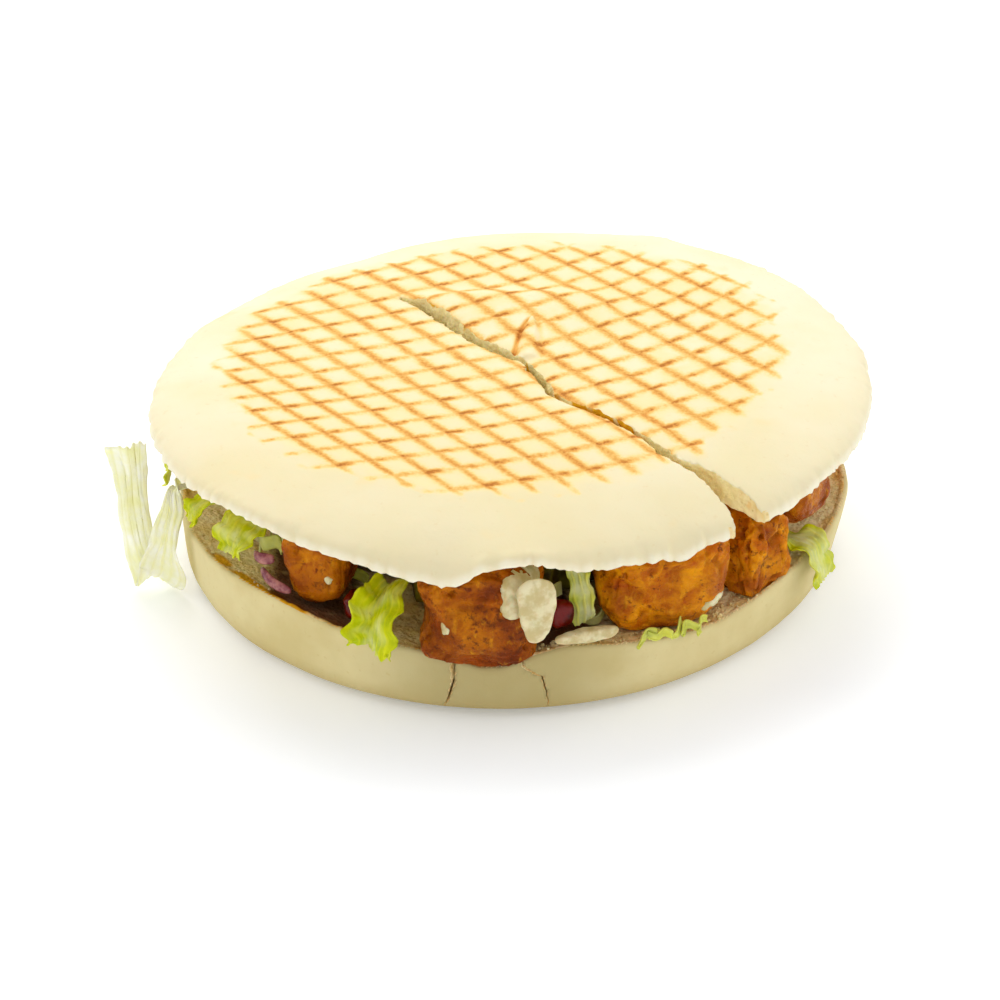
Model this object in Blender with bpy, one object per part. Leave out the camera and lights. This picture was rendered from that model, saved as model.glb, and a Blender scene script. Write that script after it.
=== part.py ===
"""Round toasted flat-bread sandwich with spiced chicken pieces, lettuce, tomato, onion and white sauce.

All lengths are millimetres until a solid is made. The origin is the middle of the lower bread's
flat base, +Z is up and the side with the widest opening faces -Y. Azimuths are degrees from +X
towards +Y.
"""

import math

import bpy
import numpy as np

MM = 0.001
GAP = 0.45
FRONT_FROM = -148
FRONT_TO = -22
FRONT_STEP = 3.6
REST_STEP = 6.0
RIPPLE_WAVES = 7

# Lower bread
BASE_RADIUS = 94.8
BASE_BULGE = ((0, 30, 4.2),)
WALL_FLARE = ((3, 30, 3.2),)
FLARE_ALL_ROUND = 1.7
RIM_HEIGHT = 21.6
RIM_WAVES = ((-134, 17, 3.4), (-92, 6, -4.4), (-78, 6, 2.0), (-50, 13, -3.2), (0, 22, 2.4), (110, 25, 1.2))
CRUMB_HEIGHT = 17.0
CRUMB_BUMP = 0.5
WALL_PROFILE = (
    (0.900, 0.0),
    (0.962, 0.35),
    (0.987, 2.0),
    (1.000, 5.5),
    (1.006, 10.5),
    (1.008, 15.5),
)
CRACK_DEPTH = 10.0
CRACK_LEFT = ((-97.3, 24.0, 1.5), (-98.1, 17.0, 1.2), (-98.0, 11.0, 0.9), (-99.0, 6.5, 0.7), (-99.7, 3.0, 0.3))
CRACK_RIGHT = ((-87.0, 24.0, 1.0), (-86.2, 17.5, 0.8), (-83.0, 14.0, 0.6), (-82.4, 9.0, 0.5), (-82.0, 4.0, 0.25))

# Upper bread
TOP_CENTRE = (2.6, 1.9)
LIP_RADIUS = 107.6
LIP_OVAL = (0.0345, 56.0)
LIP_EGG = (0.0247, -19.4)
LIP_HEIGHT = 52.2
LIP_SLOPE = (0.0045, -0.038)
LIP_TWIST = (4.1, 23.5)
LIP_WAVES = (
    (-132, 9, 2.2),
    (-104, 7, -3.0),
    (-98.5, 2.6, -2.4),
    (-88, 6.5, 3.3),
    (-63, 2.6, -2.2),
    (-32, 6, 1.5),
    (20, 8, -1.6),
    (64, 5, 1.8),
    (118, 9, -1.8),
    (160, 6, 1.4),
)
LIP_TOOTH = 0.7
LIP_THICKNESS = 1.5
CROWN = 9.9
CROWN_POWER = 5

# The cut in the upper bread: x, y and half width from its closed end out past the lip
CUT_PATH = (
    (-31.0, 46.0, 0.25),
    (-24.5, 40.5, 1.0),
    (-17.5, 30.0, 1.7),
    (-10.0, 18.5, 1.5),
    (-2.0, 9.5, 1.8),
    (6.5, 2.0, 1.0),
    (11.2, -8.0, 1.4),
    (14.5, -19.0, 1.0),
    (18.5, -24.0, 0.6),
    (28.0, -31.0, 1.2),
    (38.0, -41.5, 0.8),
    (47.0, -54.0, 1.2),
    (54.5, -59.5, 1.8),
    (60.0, -65.5, 2.4),
    (65.0, -71.5, 3.8),
    (70.0, -78.5, 5.2),
    (80.0, -92.0, 7.0),
)
CUT_LOW = 35.0
CUT_HIGH = 80.0
HUMP_HEIGHT = 3.0
HUMP_AT = (2.0, 40.0)
HUMP_HALF_LENGTH = 34.0
HUMP_BACK = 8.0
HUMP_FRONT = 20.0

# Chicken pieces: azimuth, distance out, height of the middle, width round, depth in, height, turn
MEAT = {
    "meat_front_left": (-128.2, 82.0, 35.0, 19.5, 18.5, 25.0, 22),
    "meat_front": (-93.8, 84.5, 32.0, 33.0, 31.0, 36.0, 2),
    "meat_front_right": (-57.6, 83.0, 33.8, 38.0, 24.0, 31.0, -12),
    "meat_torn": (-36.4, 87.6, 29.5, 18.0, 20.0, 28.0, -2),
    "meat_right_high": (-21.0, 88.0, 39.0, 22.0, 23.0, 19.0, -8),
    "meat_right": (3.0, 84.0, 36.0, 30.0, 28.0, 27.0, 8),
    "meat_right_back": (29.0, 82.0, 34.5, 29.0, 27.0, 26.0, -6),
    "meat_back_right": (53.5, 81.0, 33.0, 28.0, 26.0, 25.0, 10),
    "meat_back": (82.0, 80.0, 32.5, 29.0, 26.0, 24.0, -5),
    "meat_back_left": (108.0, 80.5, 33.0, 27.0, 26.0, 25.0, 7),
    "meat_left_back": (136.0, 81.0, 34.5, 29.0, 27.0, 26.0, -8),
    "meat_left": (161.0, 81.0, 35.5, 26.0, 27.0, 26.0, 6),
}
MEAT_SQUARENESS = 0.42
MEAT_LUMP = 1.5
MEAT_CELLS = 4

# Salad in the middle
SALAD_RADIUS = 63.0
SALAD_GAP = 1.2
SALAD_WAVES = ((-150, 14, 15.0), (-109, 4, 11.0), (-79, 3.5, 9.0), (-9, 3, 9.0), (68, 4, 10.0), (121, 4, 10.0), (178, 6, 12.0))
SHREDS = (
    (-158, 74, 30),
    (-149, 76, 36),
    (-142, 74, 28),
    (-110, 70, 34),
    (-79, 68, 37),
    (-9, 68, 32),
    (68, 70, 31),
    (121, 69, 33),
    (176, 72, 31),
    (182, 71, 38),
)
SHRED_LENGTH = 17.0
SHRED_WIDTH = 4.5
SHRED_THICKNESS = 1.6

# Colour and roughness of each kind of piece, by the first word of its name
LOOKS = {
    "bread": ((0.86, 0.78, 0.60), 0.85),
    "meat": ((0.50, 0.20, 0.04), 0.55),
    "salad": ((0.38, 0.36, 0.14), 0.60),
    "lettuce": ((0.62, 0.66, 0.26), 0.50),
    "sauce": ((0.86, 0.84, 0.74), 0.35),
    "tomato": ((0.35, 0.05, 0.03), 0.40),
    "onion": ((0.45, 0.25, 0.33), 0.45),
}
SMOOTH_BELOW = math.radians(40)

LEAF_THICKNESS = 0.9
LEAF_ROWS = 10
LEAF_COLUMNS = 6
# The leaf that hangs out on the left: down to the base, then back up; its across ways and widths
OUTER_LEAF = (
    (-84.0, -22.0, 34.0),
    (-95.1, -28.5, 36.0),
    (-96.5, -29.5, 27.5),
    (-98.2, -30.5, 19.5),
    (-99.6, -30.5, 12.5),
    (-100.8, -29.5, 6.6),
    (-103.5, -26.5, 4.9),
    (-106.0, -24.0, 10.0),
    (-107.6, -23.0, 18.0),
    (-108.3, -23.0, 28.0),
    (-108.4, -23.5, 38.0),
    (-108.8, -25.0, 47.5),
)
OUTER_LEAF_ACROSS = ((0.2, 1, 0.1), (0.9, -0.5, 0.3), (1, -0.2, -0.2), (1, 0, -0.1), (1, 0.15, 0), (1, 0.3, 0.1))
OUTER_LEAF_WIDTHS = (5, 4, 5.5, 9, 13, 14, 12, 9.5, 9, 10.5, 12, 11.5)


def clear_scene():
    for old in list(bpy.data.objects):
        bpy.data.objects.remove(old, do_unlink=True)


def waves(azimuth, table):
    """Adds up local rises, each given as its middle and half width in degrees and its height."""
    total = np.zeros_like(np.asarray(azimuth, float))
    for middle, width, height in table:
        off = (np.degrees(azimuth) - middle + 180) % 360 - 180
        total = total + height * np.exp(-((off / width) ** 2))
    return total


def ripple(points, size, seed):
    """Smooth bumps about one high and about size across."""
    rng = np.random.default_rng(seed)
    total = 0
    for _ in range(RIPPLE_WAVES):
        way = rng.normal(size=3)
        way = way / np.linalg.norm(way)
        rate = 2 * math.pi / size * rng.uniform(0.7, 1.4)
        total = total + np.sin(points @ way * rate + rng.uniform(0, 2 * math.pi))
    return total / math.sqrt(RIPPLE_WAVES)


def polar(x, y, centre=(0, 0)):
    return np.hypot(x - centre[0], y - centre[1]), np.arctan2(y - centre[1], x - centre[0])


def rim_height(azimuth):
    return RIM_HEIGHT + waves(azimuth, RIM_WAVES)


def wall_radius(azimuth, height):
    flare = FLARE_ALL_ROUND + waves(azimuth, WALL_FLARE)
    return BASE_RADIUS + waves(azimuth, BASE_BULGE) + flare * height / RIM_HEIGHT


def crumb_height(x, y):
    """Height of the lower bread's cut face."""
    out, azimuth = polar(x, y)
    rim = rim_height(azimuth)
    share = np.clip(out / wall_radius(azimuth, rim), 0, 1)
    points = np.stack([x, y, 0 * x], -1)
    dish = CRUMB_HEIGHT + (rim - CRUMB_HEIGHT) * share**5
    return dish + CRUMB_BUMP * ripple(points, 26.0, 11) * (1 - share**6)


def lip_radius(azimuth):
    oval = LIP_OVAL[0] * np.cos(2 * (azimuth - math.radians(LIP_OVAL[1])))
    egg = LIP_EGG[0] * np.cos(3 * (azimuth - math.radians(LIP_EGG[1])))
    return LIP_RADIUS * (1 + oval + egg)


def lid_floor(x, y):
    """Height that the upper bread's lip has round the edge, carried on inwards."""
    out, azimuth = polar(x, y, TOP_CENTRE)
    share = np.clip(out / lip_radius(azimuth), 0, 1)
    level = LIP_HEIGHT + LIP_SLOPE[0] * x + LIP_SLOPE[1] * y
    twist = LIP_TWIST[0] * np.cos(2 * (azimuth - math.radians(LIP_TWIST[1])))
    return level + twist * share**3 + waves(azimuth, LIP_WAVES) * share**12, share


def cut_distance(x, y):
    """Signed distance from the cut, positive behind it, and the cut's half width there."""
    knots = np.array(CUT_PATH)
    best = np.full(np.shape(x), 1e9)
    width = np.zeros(np.shape(x))
    for start, end in zip(knots[:-1], knots[1:]):
        step = end[:2] - start[:2]
        along = ((x - start[0]) * step[0] + (y - start[1]) * step[1]) / (step @ step)
        along = np.clip(along, 0, 1)
        off_x = x - start[0] - along * step[0]
        off_y = y - start[1] - along * step[1]
        away = np.hypot(off_x, off_y)
        side = np.where(step[0] * off_y - step[1] * off_x >= 0, 1.0, -1.0)
        nearer = away < np.abs(best)
        best = np.where(nearer, side * away, best)
        width = np.where(nearer, start[2] + along * (end[2] - start[2]), width)
    return best, width


def hump(x, y):
    """Rise of the crust behind the cut, steeper at the back."""
    distance, width = cut_distance(x, y)
    from_crest = y - HUMP_AT[1]
    depth = np.where(from_crest > 0, HUMP_BACK, HUMP_FRONT)
    shape = np.exp(-((from_crest / depth) ** 2) - (np.abs(x - HUMP_AT[0]) / HUMP_HALF_LENGTH) ** 4)
    behind = np.clip(0.5 + distance / (2 * np.maximum(width, 0.5)), 0, 1)
    return HUMP_HEIGHT * shape * behind


def crown_height(x, y):
    floor, share = lid_floor(x, y)
    return floor + CROWN * np.sqrt(np.maximum(1 - share**CROWN_POWER, 0)) + hump(x, y)


def lid_under(x, y):
    """Height of the upper bread's cut face."""
    floor, share = lid_floor(x, y)
    points = np.stack([x, y, 0 * x], -1)
    return floor - LIP_THICKNESS + CRUMB_BUMP * ripple(points, 22.0, 12) * (1 - share**8)


def material_for(name):
    """The material shared by every piece of one kind."""
    kind = name.split("_")[0]
    found = bpy.data.materials.get(kind)
    if found or kind not in LOOKS:
        return found
    colour, roughness = LOOKS[kind]
    made = bpy.data.materials.new(kind)
    made.use_nodes = True
    surface = made.node_tree.nodes["Principled BSDF"]
    surface.inputs["Base Color"].default_value = (*colour, 1)
    surface.inputs["Roughness"].default_value = roughness
    surface.inputs["Metallic"].default_value = 0
    return made


def finish(made):
    """Gives a node its material and smooth shading."""
    made.data.materials.clear()
    made.data.materials.append(material_for(made.name))
    made.data.shade_smooth()
    made.data.set_sharp_from_angle(angle=SMOOTH_BELOW)


def solid(name, points, faces):
    """One closed mesh object from points in millimetres, with its faces outwards."""
    points = np.asarray(points, float)
    volume = 0.0
    for face in faces:
        for second, third in zip(face[1:-1], face[2:]):
            volume += np.dot(points[face[0]], np.cross(points[second], points[third]))
    if volume < 0:
        faces = [tuple(reversed(face)) for face in faces]
    mesh = bpy.data.meshes.new(name)
    mesh.from_pydata((points * MM).tolist(), [], [tuple(int(i) for i in face) for face in faces])
    mesh.validate()
    made = bpy.data.objects.new(name, mesh)
    bpy.context.scene.collection.objects.link(made)
    return made


def skin(rings, first_pole, last_pole):
    """Points and triangles of a closed skin over rings of equal count, with a pole at each end."""
    count = len(rings[0])
    points = np.concatenate([[first_pole], *rings, [last_pole]])
    last = len(points) - 1
    faces = []
    for i in range(count):
        j = (i + 1) % count
        faces.append((0, 1 + j, 1 + i))
        faces.append((last, last - count + i, last - count + j))
        for row in range(len(rings) - 1):
            here = 1 + row * count
            above = here + count
            faces.append((here + i, here + j, above + j))
            faces.append((here + i, above + j, above + i))
    return points, faces


def round_angles(count):
    return np.linspace(0, 2 * math.pi, count, endpoint=False)


def bread_angles():
    """Azimuths round a bread, closer together along the open front."""
    front = np.arange(FRONT_FROM, FRONT_TO, FRONT_STEP)
    rest = np.arange(FRONT_TO, FRONT_FROM + 360, REST_STEP)
    return np.radians(np.concatenate([front, rest]))


def cutter(name, points, faces):
    made = solid(name, points, faces)
    made.hide_render = True
    made.display_type = "WIRE"
    return made


def combine(target, others, operation):
    """Applies one EXACT Boolean over a collection and removes the collection's objects."""
    group = bpy.data.collections.new(target.name + "_others")
    for other in others:
        group.objects.link(other)
    change = target.modifiers.new("combine", "BOOLEAN")
    change.operation = operation
    change.operand_type = "COLLECTION"
    change.collection = group
    change.solver = "EXACT"
    bpy.context.view_layer.update()
    graph = bpy.context.evaluated_depsgraph_get()
    mesh = bpy.data.meshes.new_from_object(target.evaluated_get(graph))
    target.modifiers.clear()
    target.data = mesh
    for other in others:
        bpy.data.objects.remove(other, do_unlink=True)
    bpy.data.collections.remove(group)


def crack_cutter(name, knots):
    """A wedge through the lower bread's wall that follows the knots: azimuth, height, half width."""
    rings = []
    for azimuth, height, half in knots:
        angle = math.radians(azimuth)
        outward = np.array([math.cos(angle), math.sin(angle), 0])
        round_way = np.array([-math.sin(angle), math.cos(angle), 0])
        face = float(wall_radius(angle, height)) * outward + np.array([0, 0, height])
        left = face + 3 * outward - half * 1.3 * round_way
        right = face + 3 * outward + half * 1.3 * round_way
        rings.append(np.array([left, right, face - CRACK_DEPTH * outward]))
    top = rings[0].mean(0) + [0, 0, 1]
    bottom = rings[-1].mean(0) - [0, 0, 0.8]
    return cutter(name, *skin(rings, top, bottom))


def lower_bread():
    angles = bread_angles()
    rings = []

    def ring(share, height):
        out = wall_radius(angles, height) * share
        rings.append(np.stack([out * np.cos(angles), out * np.sin(angles), height + 0 * angles], 1))

    ring(0.5, 0.0)
    for share, height in WALL_PROFILE:
        ring(share, height)
    rim = rim_height(angles)
    ring(1.006, rim - 2.0)
    ring(1.0, rim - 0.4)
    ring(0.985, rim)
    for share in (0.955, 0.90, 0.82, 0.68, 0.48, 0.24):
        out = wall_radius(angles, rim) * share
        x = out * np.cos(angles)
        y = out * np.sin(angles)
        rings.append(np.stack([x, y, crumb_height(x, y)], 1))
    middle = float(crumb_height(np.zeros(1), np.zeros(1))[0])
    made = solid("bread_bottom", *skin(rings, [0, 0, 0], [0, 0, middle]))
    cracks = [crack_cutter("crack_left", CRACK_LEFT), crack_cutter("crack_right", CRACK_RIGHT)]
    combine(made, cracks, "DIFFERENCE")


def cut_cutter():
    """The upright blade shape that the cut takes out of the upper bread."""
    knots = np.array(CUT_PATH)
    ways = np.gradient(knots[:, :2], axis=0)
    ways = ways / np.linalg.norm(ways, axis=1)[:, None]
    across = np.stack([-ways[:, 1], ways[:, 0]], 1)
    near = knots[:, :2] - across * knots[:, 2:]
    far = knots[:, :2] + across * knots[:, 2:]
    outline = np.concatenate([near, far[::-1]])
    count = len(outline)
    low = np.column_stack([outline, np.full(count, CUT_LOW)])
    high = np.column_stack([outline, np.full(count, CUT_HIGH)])
    points = np.concatenate([low, high])
    half = count // 2
    faces = []
    for i in range(count):
        j = (i + 1) % count
        faces.append((i, j, count + j, count + i))
    for i in range(half - 1):
        k = count - 1 - i
        faces.append((i, k, k - 1, i + 1))
        faces.append((count + i, count + i + 1, count + k - 1, count + k))
    return cutter("cut", points, faces)


def upper_bread():
    angles = bread_angles()
    rng = np.random.default_rng(5)
    tooth = LIP_TOOTH * rng.uniform(-1, 1, len(angles))
    rings = []

    def ring(share, height_of):
        out = lip_radius(angles) * share
        x = TOP_CENTRE[0] + out * np.cos(angles)
        y = TOP_CENTRE[1] + out * np.sin(angles)
        rings.append(np.stack([x, y, height_of(x, y)], 1))

    for share in (0.12, 0.25, 0.38, 0.5, 0.62, 0.74, 0.84, 0.91, 0.96, 0.985):
        ring(share, crown_height)
    ring(1.0, crown_height)
    rings[-1][:, 2] += tooth
    ring(0.99, lid_under)
    rings[-1][:, 2] += tooth
    for share in (0.95, 0.87, 0.74, 0.56, 0.36, 0.16):
        ring(share, lid_under)
    middle = np.array([TOP_CENTRE[0]]), np.array([TOP_CENTRE[1]])
    top = [*TOP_CENTRE, float(crown_height(*middle)[0])]
    under = [*TOP_CENTRE, float(lid_under(*middle)[0])]
    made = solid("bread_top", *skin(rings, top, under))
    combine(made, [cut_cutter()], "DIFFERENCE")


def cube_ball(cells):
    """Points on a unit ball laid out as the grid of a cube, and the triangles between them."""
    index = {}
    points = []
    faces = []

    def corner(place):
        if place not in index:
            index[place] = len(points)
            points.append(place)
        return index[place]

    steps = range(cells)
    for axis in range(3):
        for side in (0, cells):
            for a in steps:
                for b in steps:
                    square = []
                    for da, db in ((0, 0), (1, 0), (1, 1), (0, 1)):
                        place = [0, 0, 0]
                        place[axis] = side
                        place[(axis + 1) % 3] = a + da
                        place[(axis + 2) % 3] = b + db
                        square.append(corner(tuple(place)))
                    if side == 0:
                        square.reverse()
                    faces.append((square[0], square[1], square[2]))
                    faces.append((square[0], square[2], square[3]))
    flat = np.array(points) / cells * 2 - 1
    bent = np.tan(flat * 0.72) / math.tan(0.72)
    return bent / np.linalg.norm(bent, axis=1)[:, None], faces


def turned(points, azimuth, turn):
    angle = math.radians(azimuth + turn)
    outward = np.array([math.cos(angle), math.sin(angle), 0])
    round_way = np.array([-math.sin(angle), math.cos(angle), 0])
    up = np.array([0, 0, 1.0])
    return points[:, :1] * round_way + points[:, 1:2] * outward + points[:, 2:] * up


def place_at(azimuth, out, height):
    angle = math.radians(azimuth)
    return np.array([out * math.cos(angle), out * math.sin(angle), height])


def between_breads(points, gap=GAP):
    """Keeps points a gap clear of both cut faces."""
    points = points.copy()
    low = crumb_height(points[:, 0], points[:, 1]) + gap
    high = lid_under(points[:, 0], points[:, 1]) - gap
    points[:, 2] = np.clip(points[:, 2], low, high)
    return points


def lump(name, place, sides, turn, squareness, bump, seed, cells=MEAT_CELLS):
    """A rounded block with an uneven skin: place is azimuth, distance out and height."""
    ball, faces = cube_ball(cells)
    boxy = np.sign(ball) * np.abs(ball) ** squareness
    boxy = boxy / np.maximum(np.linalg.norm(boxy, axis=1, ord=4)[:, None], 1e-6)
    local = boxy * np.array(sides) / 2
    local = local + ball * bump * ripple(local, 15.0, seed)[:, None]
    points = place_at(*place) + turned(local, place[0], turn)
    return solid(name, between_breads(points, GAP + 0.35), faces)


def meat():
    for seed, (name, values) in enumerate(MEAT.items()):
        azimuth, out, height, width, depth, tall, turn = values
        lump(name, (azimuth, out, height), (width, depth, tall), turn, MEAT_SQUARENESS, MEAT_LUMP, seed + 20)


def strip(name, spine, across, width, thickness):
    """A band along a line of points, as a closed solid."""
    spine = np.asarray(spine, float)
    way = np.gradient(spine, axis=0)
    way = way / np.linalg.norm(way, axis=1)[:, None]
    across = np.asarray(across, float)
    side = across - (way @ across)[:, None] * way
    side = side / np.linalg.norm(side, axis=1)[:, None]
    face = np.cross(way, side)
    half = np.full(len(spine), width / 2)
    half[[0, -1]] *= 0.6
    rings = []
    for centre, s, f, h in zip(spine, side, face, half):
        t = thickness / 2
        rings.append(np.array([centre - s * h - f * t, centre + s * h - f * t, centre + s * h + f * t, centre - s * h + f * t]))
    return solid(name, *skin(rings, spine[0] - way[0] * 0.6, spine[-1] + way[-1] * 0.6))


def salad(count=44):
    angles = round_angles(count)
    rng = np.random.default_rng(31)
    edge = SALAD_RADIUS + waves(angles, SALAD_WAVES) + rng.uniform(-1.2, 0.8, count)
    rings = []
    for share, lift in ((0.45, 0.0), (0.8, 0.0), (0.97, 0.06), (1.0, 0.3), (1.0, 0.7), (0.97, 0.94), (0.8, 1.0), (0.45, 1.0)):
        x = edge * share * np.cos(angles)
        y = edge * share * np.sin(angles)
        low = crumb_height(x, y) + SALAD_GAP
        high = lid_under(x, y) - SALAD_GAP
        rings.append(np.stack([x, y, low + (high - low) * lift], 1))
    zero = np.zeros(1)
    bottom = float(crumb_height(zero, zero)[0]) + SALAD_GAP
    top = float(lid_under(zero, zero)[0]) - SALAD_GAP
    made = solid("salad", *skin(rings, [0, 0, bottom], [0, 0, top]))
    shreds = []
    for i, (azimuth, out, height) in enumerate(SHREDS):
        line = []
        for along in np.linspace(-1, 1, 5):
            shift = SHRED_LENGTH / 2 * along
            line.append(place_at(azimuth + 2.0 * along, out - 3 + shift * 0.5, height + shift * 0.35))
        shreds.append(strip(f"shred_{i}", line, (0, 0.4, 1), SHRED_WIDTH, SHRED_THICKNESS))
    combine(made, shreds, "UNION")


def smooth_line(knots, count):
    """Evenly many points on a smooth curve through the knots."""
    knots = np.asarray(knots, float)
    spread = np.concatenate([[2 * knots[0] - knots[1]], knots, [2 * knots[-1] - knots[-2]]])
    places = np.linspace(0, len(knots) - 1, count)
    line = []
    for place in places:
        i = min(int(place), len(knots) - 2)
        t = place - i
        a, b, c, d = spread[i : i + 4]
        line.append(0.5 * (2 * b + (c - a) * t + (2 * a - 5 * b + 4 * c - d) * t**2 + (3 * b - a - 3 * c + d) * t**3))
    return np.array(line)


def leaf(name, spine, across, widths, ruffle, curl, seed, fold=0.0, rows=LEAF_ROWS, columns=LEAF_COLUMNS):
    """A thin wavy sheet along a curve; its two faces are split into triangles alike."""
    line = smooth_line(spine, rows + 1)
    way = np.gradient(line, axis=0)
    way = way / np.linalg.norm(way, axis=1)[:, None]
    side = smooth_line(across, rows + 1)
    side = side - np.sum(side * way, 1)[:, None] * way
    side = side / np.linalg.norm(side, axis=1)[:, None]
    up = np.cross(way, side)
    wide = smooth_line(np.array(widths)[:, None], rows + 1)[:, 0]
    rng = np.random.default_rng(seed)
    phase = rng.uniform(0, 2 * math.pi, 4)
    u = np.linspace(0, 1, rows + 1)[:, None]
    v = np.linspace(-1, 1, columns + 1)[None, :]
    edge_wave = np.sin(2 * math.pi * 2.3 * u + phase[0] + 1.6 * v) + 0.6 * np.sin(2 * math.pi * 4.1 * u + phase[1] - v)
    lift = ruffle * (0.25 + np.abs(v) ** 1.5) * edge_wave + (curl * v**2 + fold * np.sin(math.pi * v)) * wide[:, None] / 2
    reach = wide[:, None] / 2 * v * (1 + 0.10 * np.sin(2 * math.pi * 3.3 * u + phase[2]))
    middle = line[:, None] + side[:, None] * reach[..., None] + up[:, None] * lift[..., None]
    return sheet(name, middle)


def sheet(name, middle):
    """Thickens a grid of points into a closed solid."""
    rows, columns = middle.shape[0] - 1, middle.shape[1] - 1
    along = np.gradient(middle, axis=0)
    across = np.gradient(middle, axis=1)
    normal = np.cross(along, across)
    normal = normal / np.linalg.norm(normal, axis=2)[..., None]
    half = normal * LEAF_THICKNESS / 2
    points = np.concatenate([(middle + half).reshape(-1, 3), (middle - half).reshape(-1, 3)])
    back = (rows + 1) * (columns + 1)
    faces = []

    def at(i, j):
        return i * (columns + 1) + j

    for i in range(rows):
        for j in range(columns):
            corners = (at(i, j), at(i + 1, j), at(i + 1, j + 1), at(i, j + 1))
            for pick in ((0, 1, 2), (0, 2, 3)):
                face = [corners[p] for p in pick]
                faces.append(tuple(face))
                faces.append(tuple(back + p for p in reversed(face)))
    border = [at(i, 0) for i in range(rows)] + [at(rows, j) for j in range(columns)]
    border += [at(i, columns) for i in range(rows, 0, -1)] + [at(0, j) for j in range(columns, 0, -1)]
    for here, after in zip(border, border[1:] + border[:1]):
        faces.append((after, here, back + here))
        faces.append((after, back + here, back + after))
    return solid(name, points, faces)


def polar_line(knots):
    return [place_at(*knot) for knot in knots]


def leaves():
    leaf("lettuce_outer_left", OUTER_LEAF, OUTER_LEAF_ACROSS, OUTER_LEAF_WIDTHS, 0.7, 0.12, 3, rows=22)
    leaf(
        "lettuce_front",
        polar_line([(-110.8, 84, 35), (-110.5, 92, 35.5), (-110.3, 98, 33), (-110.3, 101, 28), (-110.5, 101.6, 23.2)]),
        [(1, -0.35, 0), (1, -0.4, 0.1), (1, -0.4, 0.1)],
        (9, 13, 15, 15.5, 14),
        0.6,
        0.15,
        7,
        fold=0.28,
        columns=8,
    )
    leaf(
        "lettuce_left_bright",
        polar_line([(-155.5, 82, 36), (-155.5, 90, 37.5), (-155.5, 96.5, 35), (-155.5, 98, 31)]),
        [(0.4, -1, 0.2), (0.4, -1, 0.1)],
        (7, 10, 11, 8),
        0.5,
        0.3,
        9,
    )
    leaf(
        "lettuce_left_pale",
        polar_line([(-144, 80, 38), (-144, 88, 38), (-143.5, 94, 35.5), (-143, 96, 31)]),
        [(0.55, -0.8, -0.2), (0.55, -0.8, -0.2)],
        (9, 14, 15, 10),
        0.5,
        0.25,
        10,
    )
    leaf(
        "lettuce_middle",
        polar_line([(-75.5, 80, 46), (-75.3, 84, 40), (-75.0, 87, 33), (-74.8, 88.5, 26)]),
        [(1, 0.2, 0), (1, 0.2, 0)],
        (5, 6, 7, 6),
        0.35,
        0.2,
        12,
    )
    leaf(
        "lettuce_right",
        polar_line([(-24.2, 84, 24.0), (-24.4, 91, 24.6), (-25.0, 98.5, 25.3), (-25.6, 102.6, 20.5), (-25.4, 103.4, 14)]),
        [(0.45, 0.9, 0), (0.45, 0.9, 0)],
        (7, 9, 13, 14.5, 10),
        0.8,
        0.12,
        13,
    )
    leaf(
        "lettuce_back_right",
        polar_line([(67.8, 84, 31), (67.8, 92, 31.5), (67.8, 99.5, 29), (67.8, 103, 22), (67.8, 103.5, 14)]),
        [(-0.93, 0.37, 0), (-0.93, 0.37, 0)],
        (5, 6, 17, 22, 16),
        0.8,
        0.15,
        15,
    )
    leaf(
        "lettuce_back_left",
        polar_line([(122, 84, 33), (122, 92, 34), (122, 99, 31), (122.5, 102.5, 24), (123, 103, 17)]),
        [(-0.85, -0.53, 0), (-0.85, -0.53, 0)],
        (5, 6, 15, 19, 13),
        0.8,
        0.2,
        17,
    )
    leaf(
        "lettuce_left",
        polar_line([(178, 80, 30), (178, 90, 30.5), (178, 97, 27.5), (178, 101, 20)]),
        [(0, -1, 0.1), (0, -1, 0)],
        (8, 12, 15, 11),
        0.6,
        0.2,
        19,
    )


def soft_pieces():
    """Sauce, tomato and onion."""
    lump("sauce_drip", (-84.6, 103.2, 41.0), (11.5, 4.0, 21.0), 4, 0.75, 0.4, 41)
    lump("sauce_pool", (-75.6, 96.0, 26.6), (19.0, 4.2, 4.6), 2, 0.75, 0.25, 42)
    lump("sauce_left", (-171.0, 93.0, 33.0), (9.0, 6.0, 9.0), 0, 0.75, 0.5, 43)
    lump("tomato_front_left", (-117.2, 88.0, 27.0), (7.5, 9.0, 9.0), 0, 0.62, 0.3, 44, 3)
    lump("tomato_middle", (-79.4, 91.0, 31.5), (7.0, 6.0, 9.0), 0, 0.62, 0.3, 45, 3)
    lump("tomato_back", (95.2, 84.0, 30.0), (5.0, 17.0, 14.0), 0, 0.62, 0.3, 46, 3)
    lump("tomato_left", (148.6, 86.0, 31.0), (4.6, 16.0, 13.0), 0, 0.62, 0.3, 47, 3)
    onion_arc("onion_left_high", (-136.6, 92.5, 34.0), 8.5, 14)
    onion_arc("onion_left_low", (-133.4, 93.0, 28.5), 12.0, -12)
    onion_arc("onion_right_back", (16.2, 91.0, 33.0), 14.0, 82)
    onion_arc("onion_back", (41.6, 89.0, 30.0), 13.0, 85)


def onion_arc(name, place, length, lean):
    """A bowed onion strip, leaning by some degrees from level."""
    centre = place_at(*place)
    angle = math.radians(place[0])
    outward = np.array([math.cos(angle), math.sin(angle), 0])
    round_way = np.array([-math.sin(angle), math.cos(angle), 0])
    tilt = math.radians(lean)
    along_way = round_way * math.cos(tilt) + np.array([0, 0, 1]) * math.sin(tilt)
    line = []
    for along in np.linspace(-1, 1, 7):
        line.append(centre + along_way * along * length / 2 + outward * 1.6 * (1 - along**2))
    strip(name, line, np.cross(along_way, outward), 3.6, 1.5)


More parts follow.
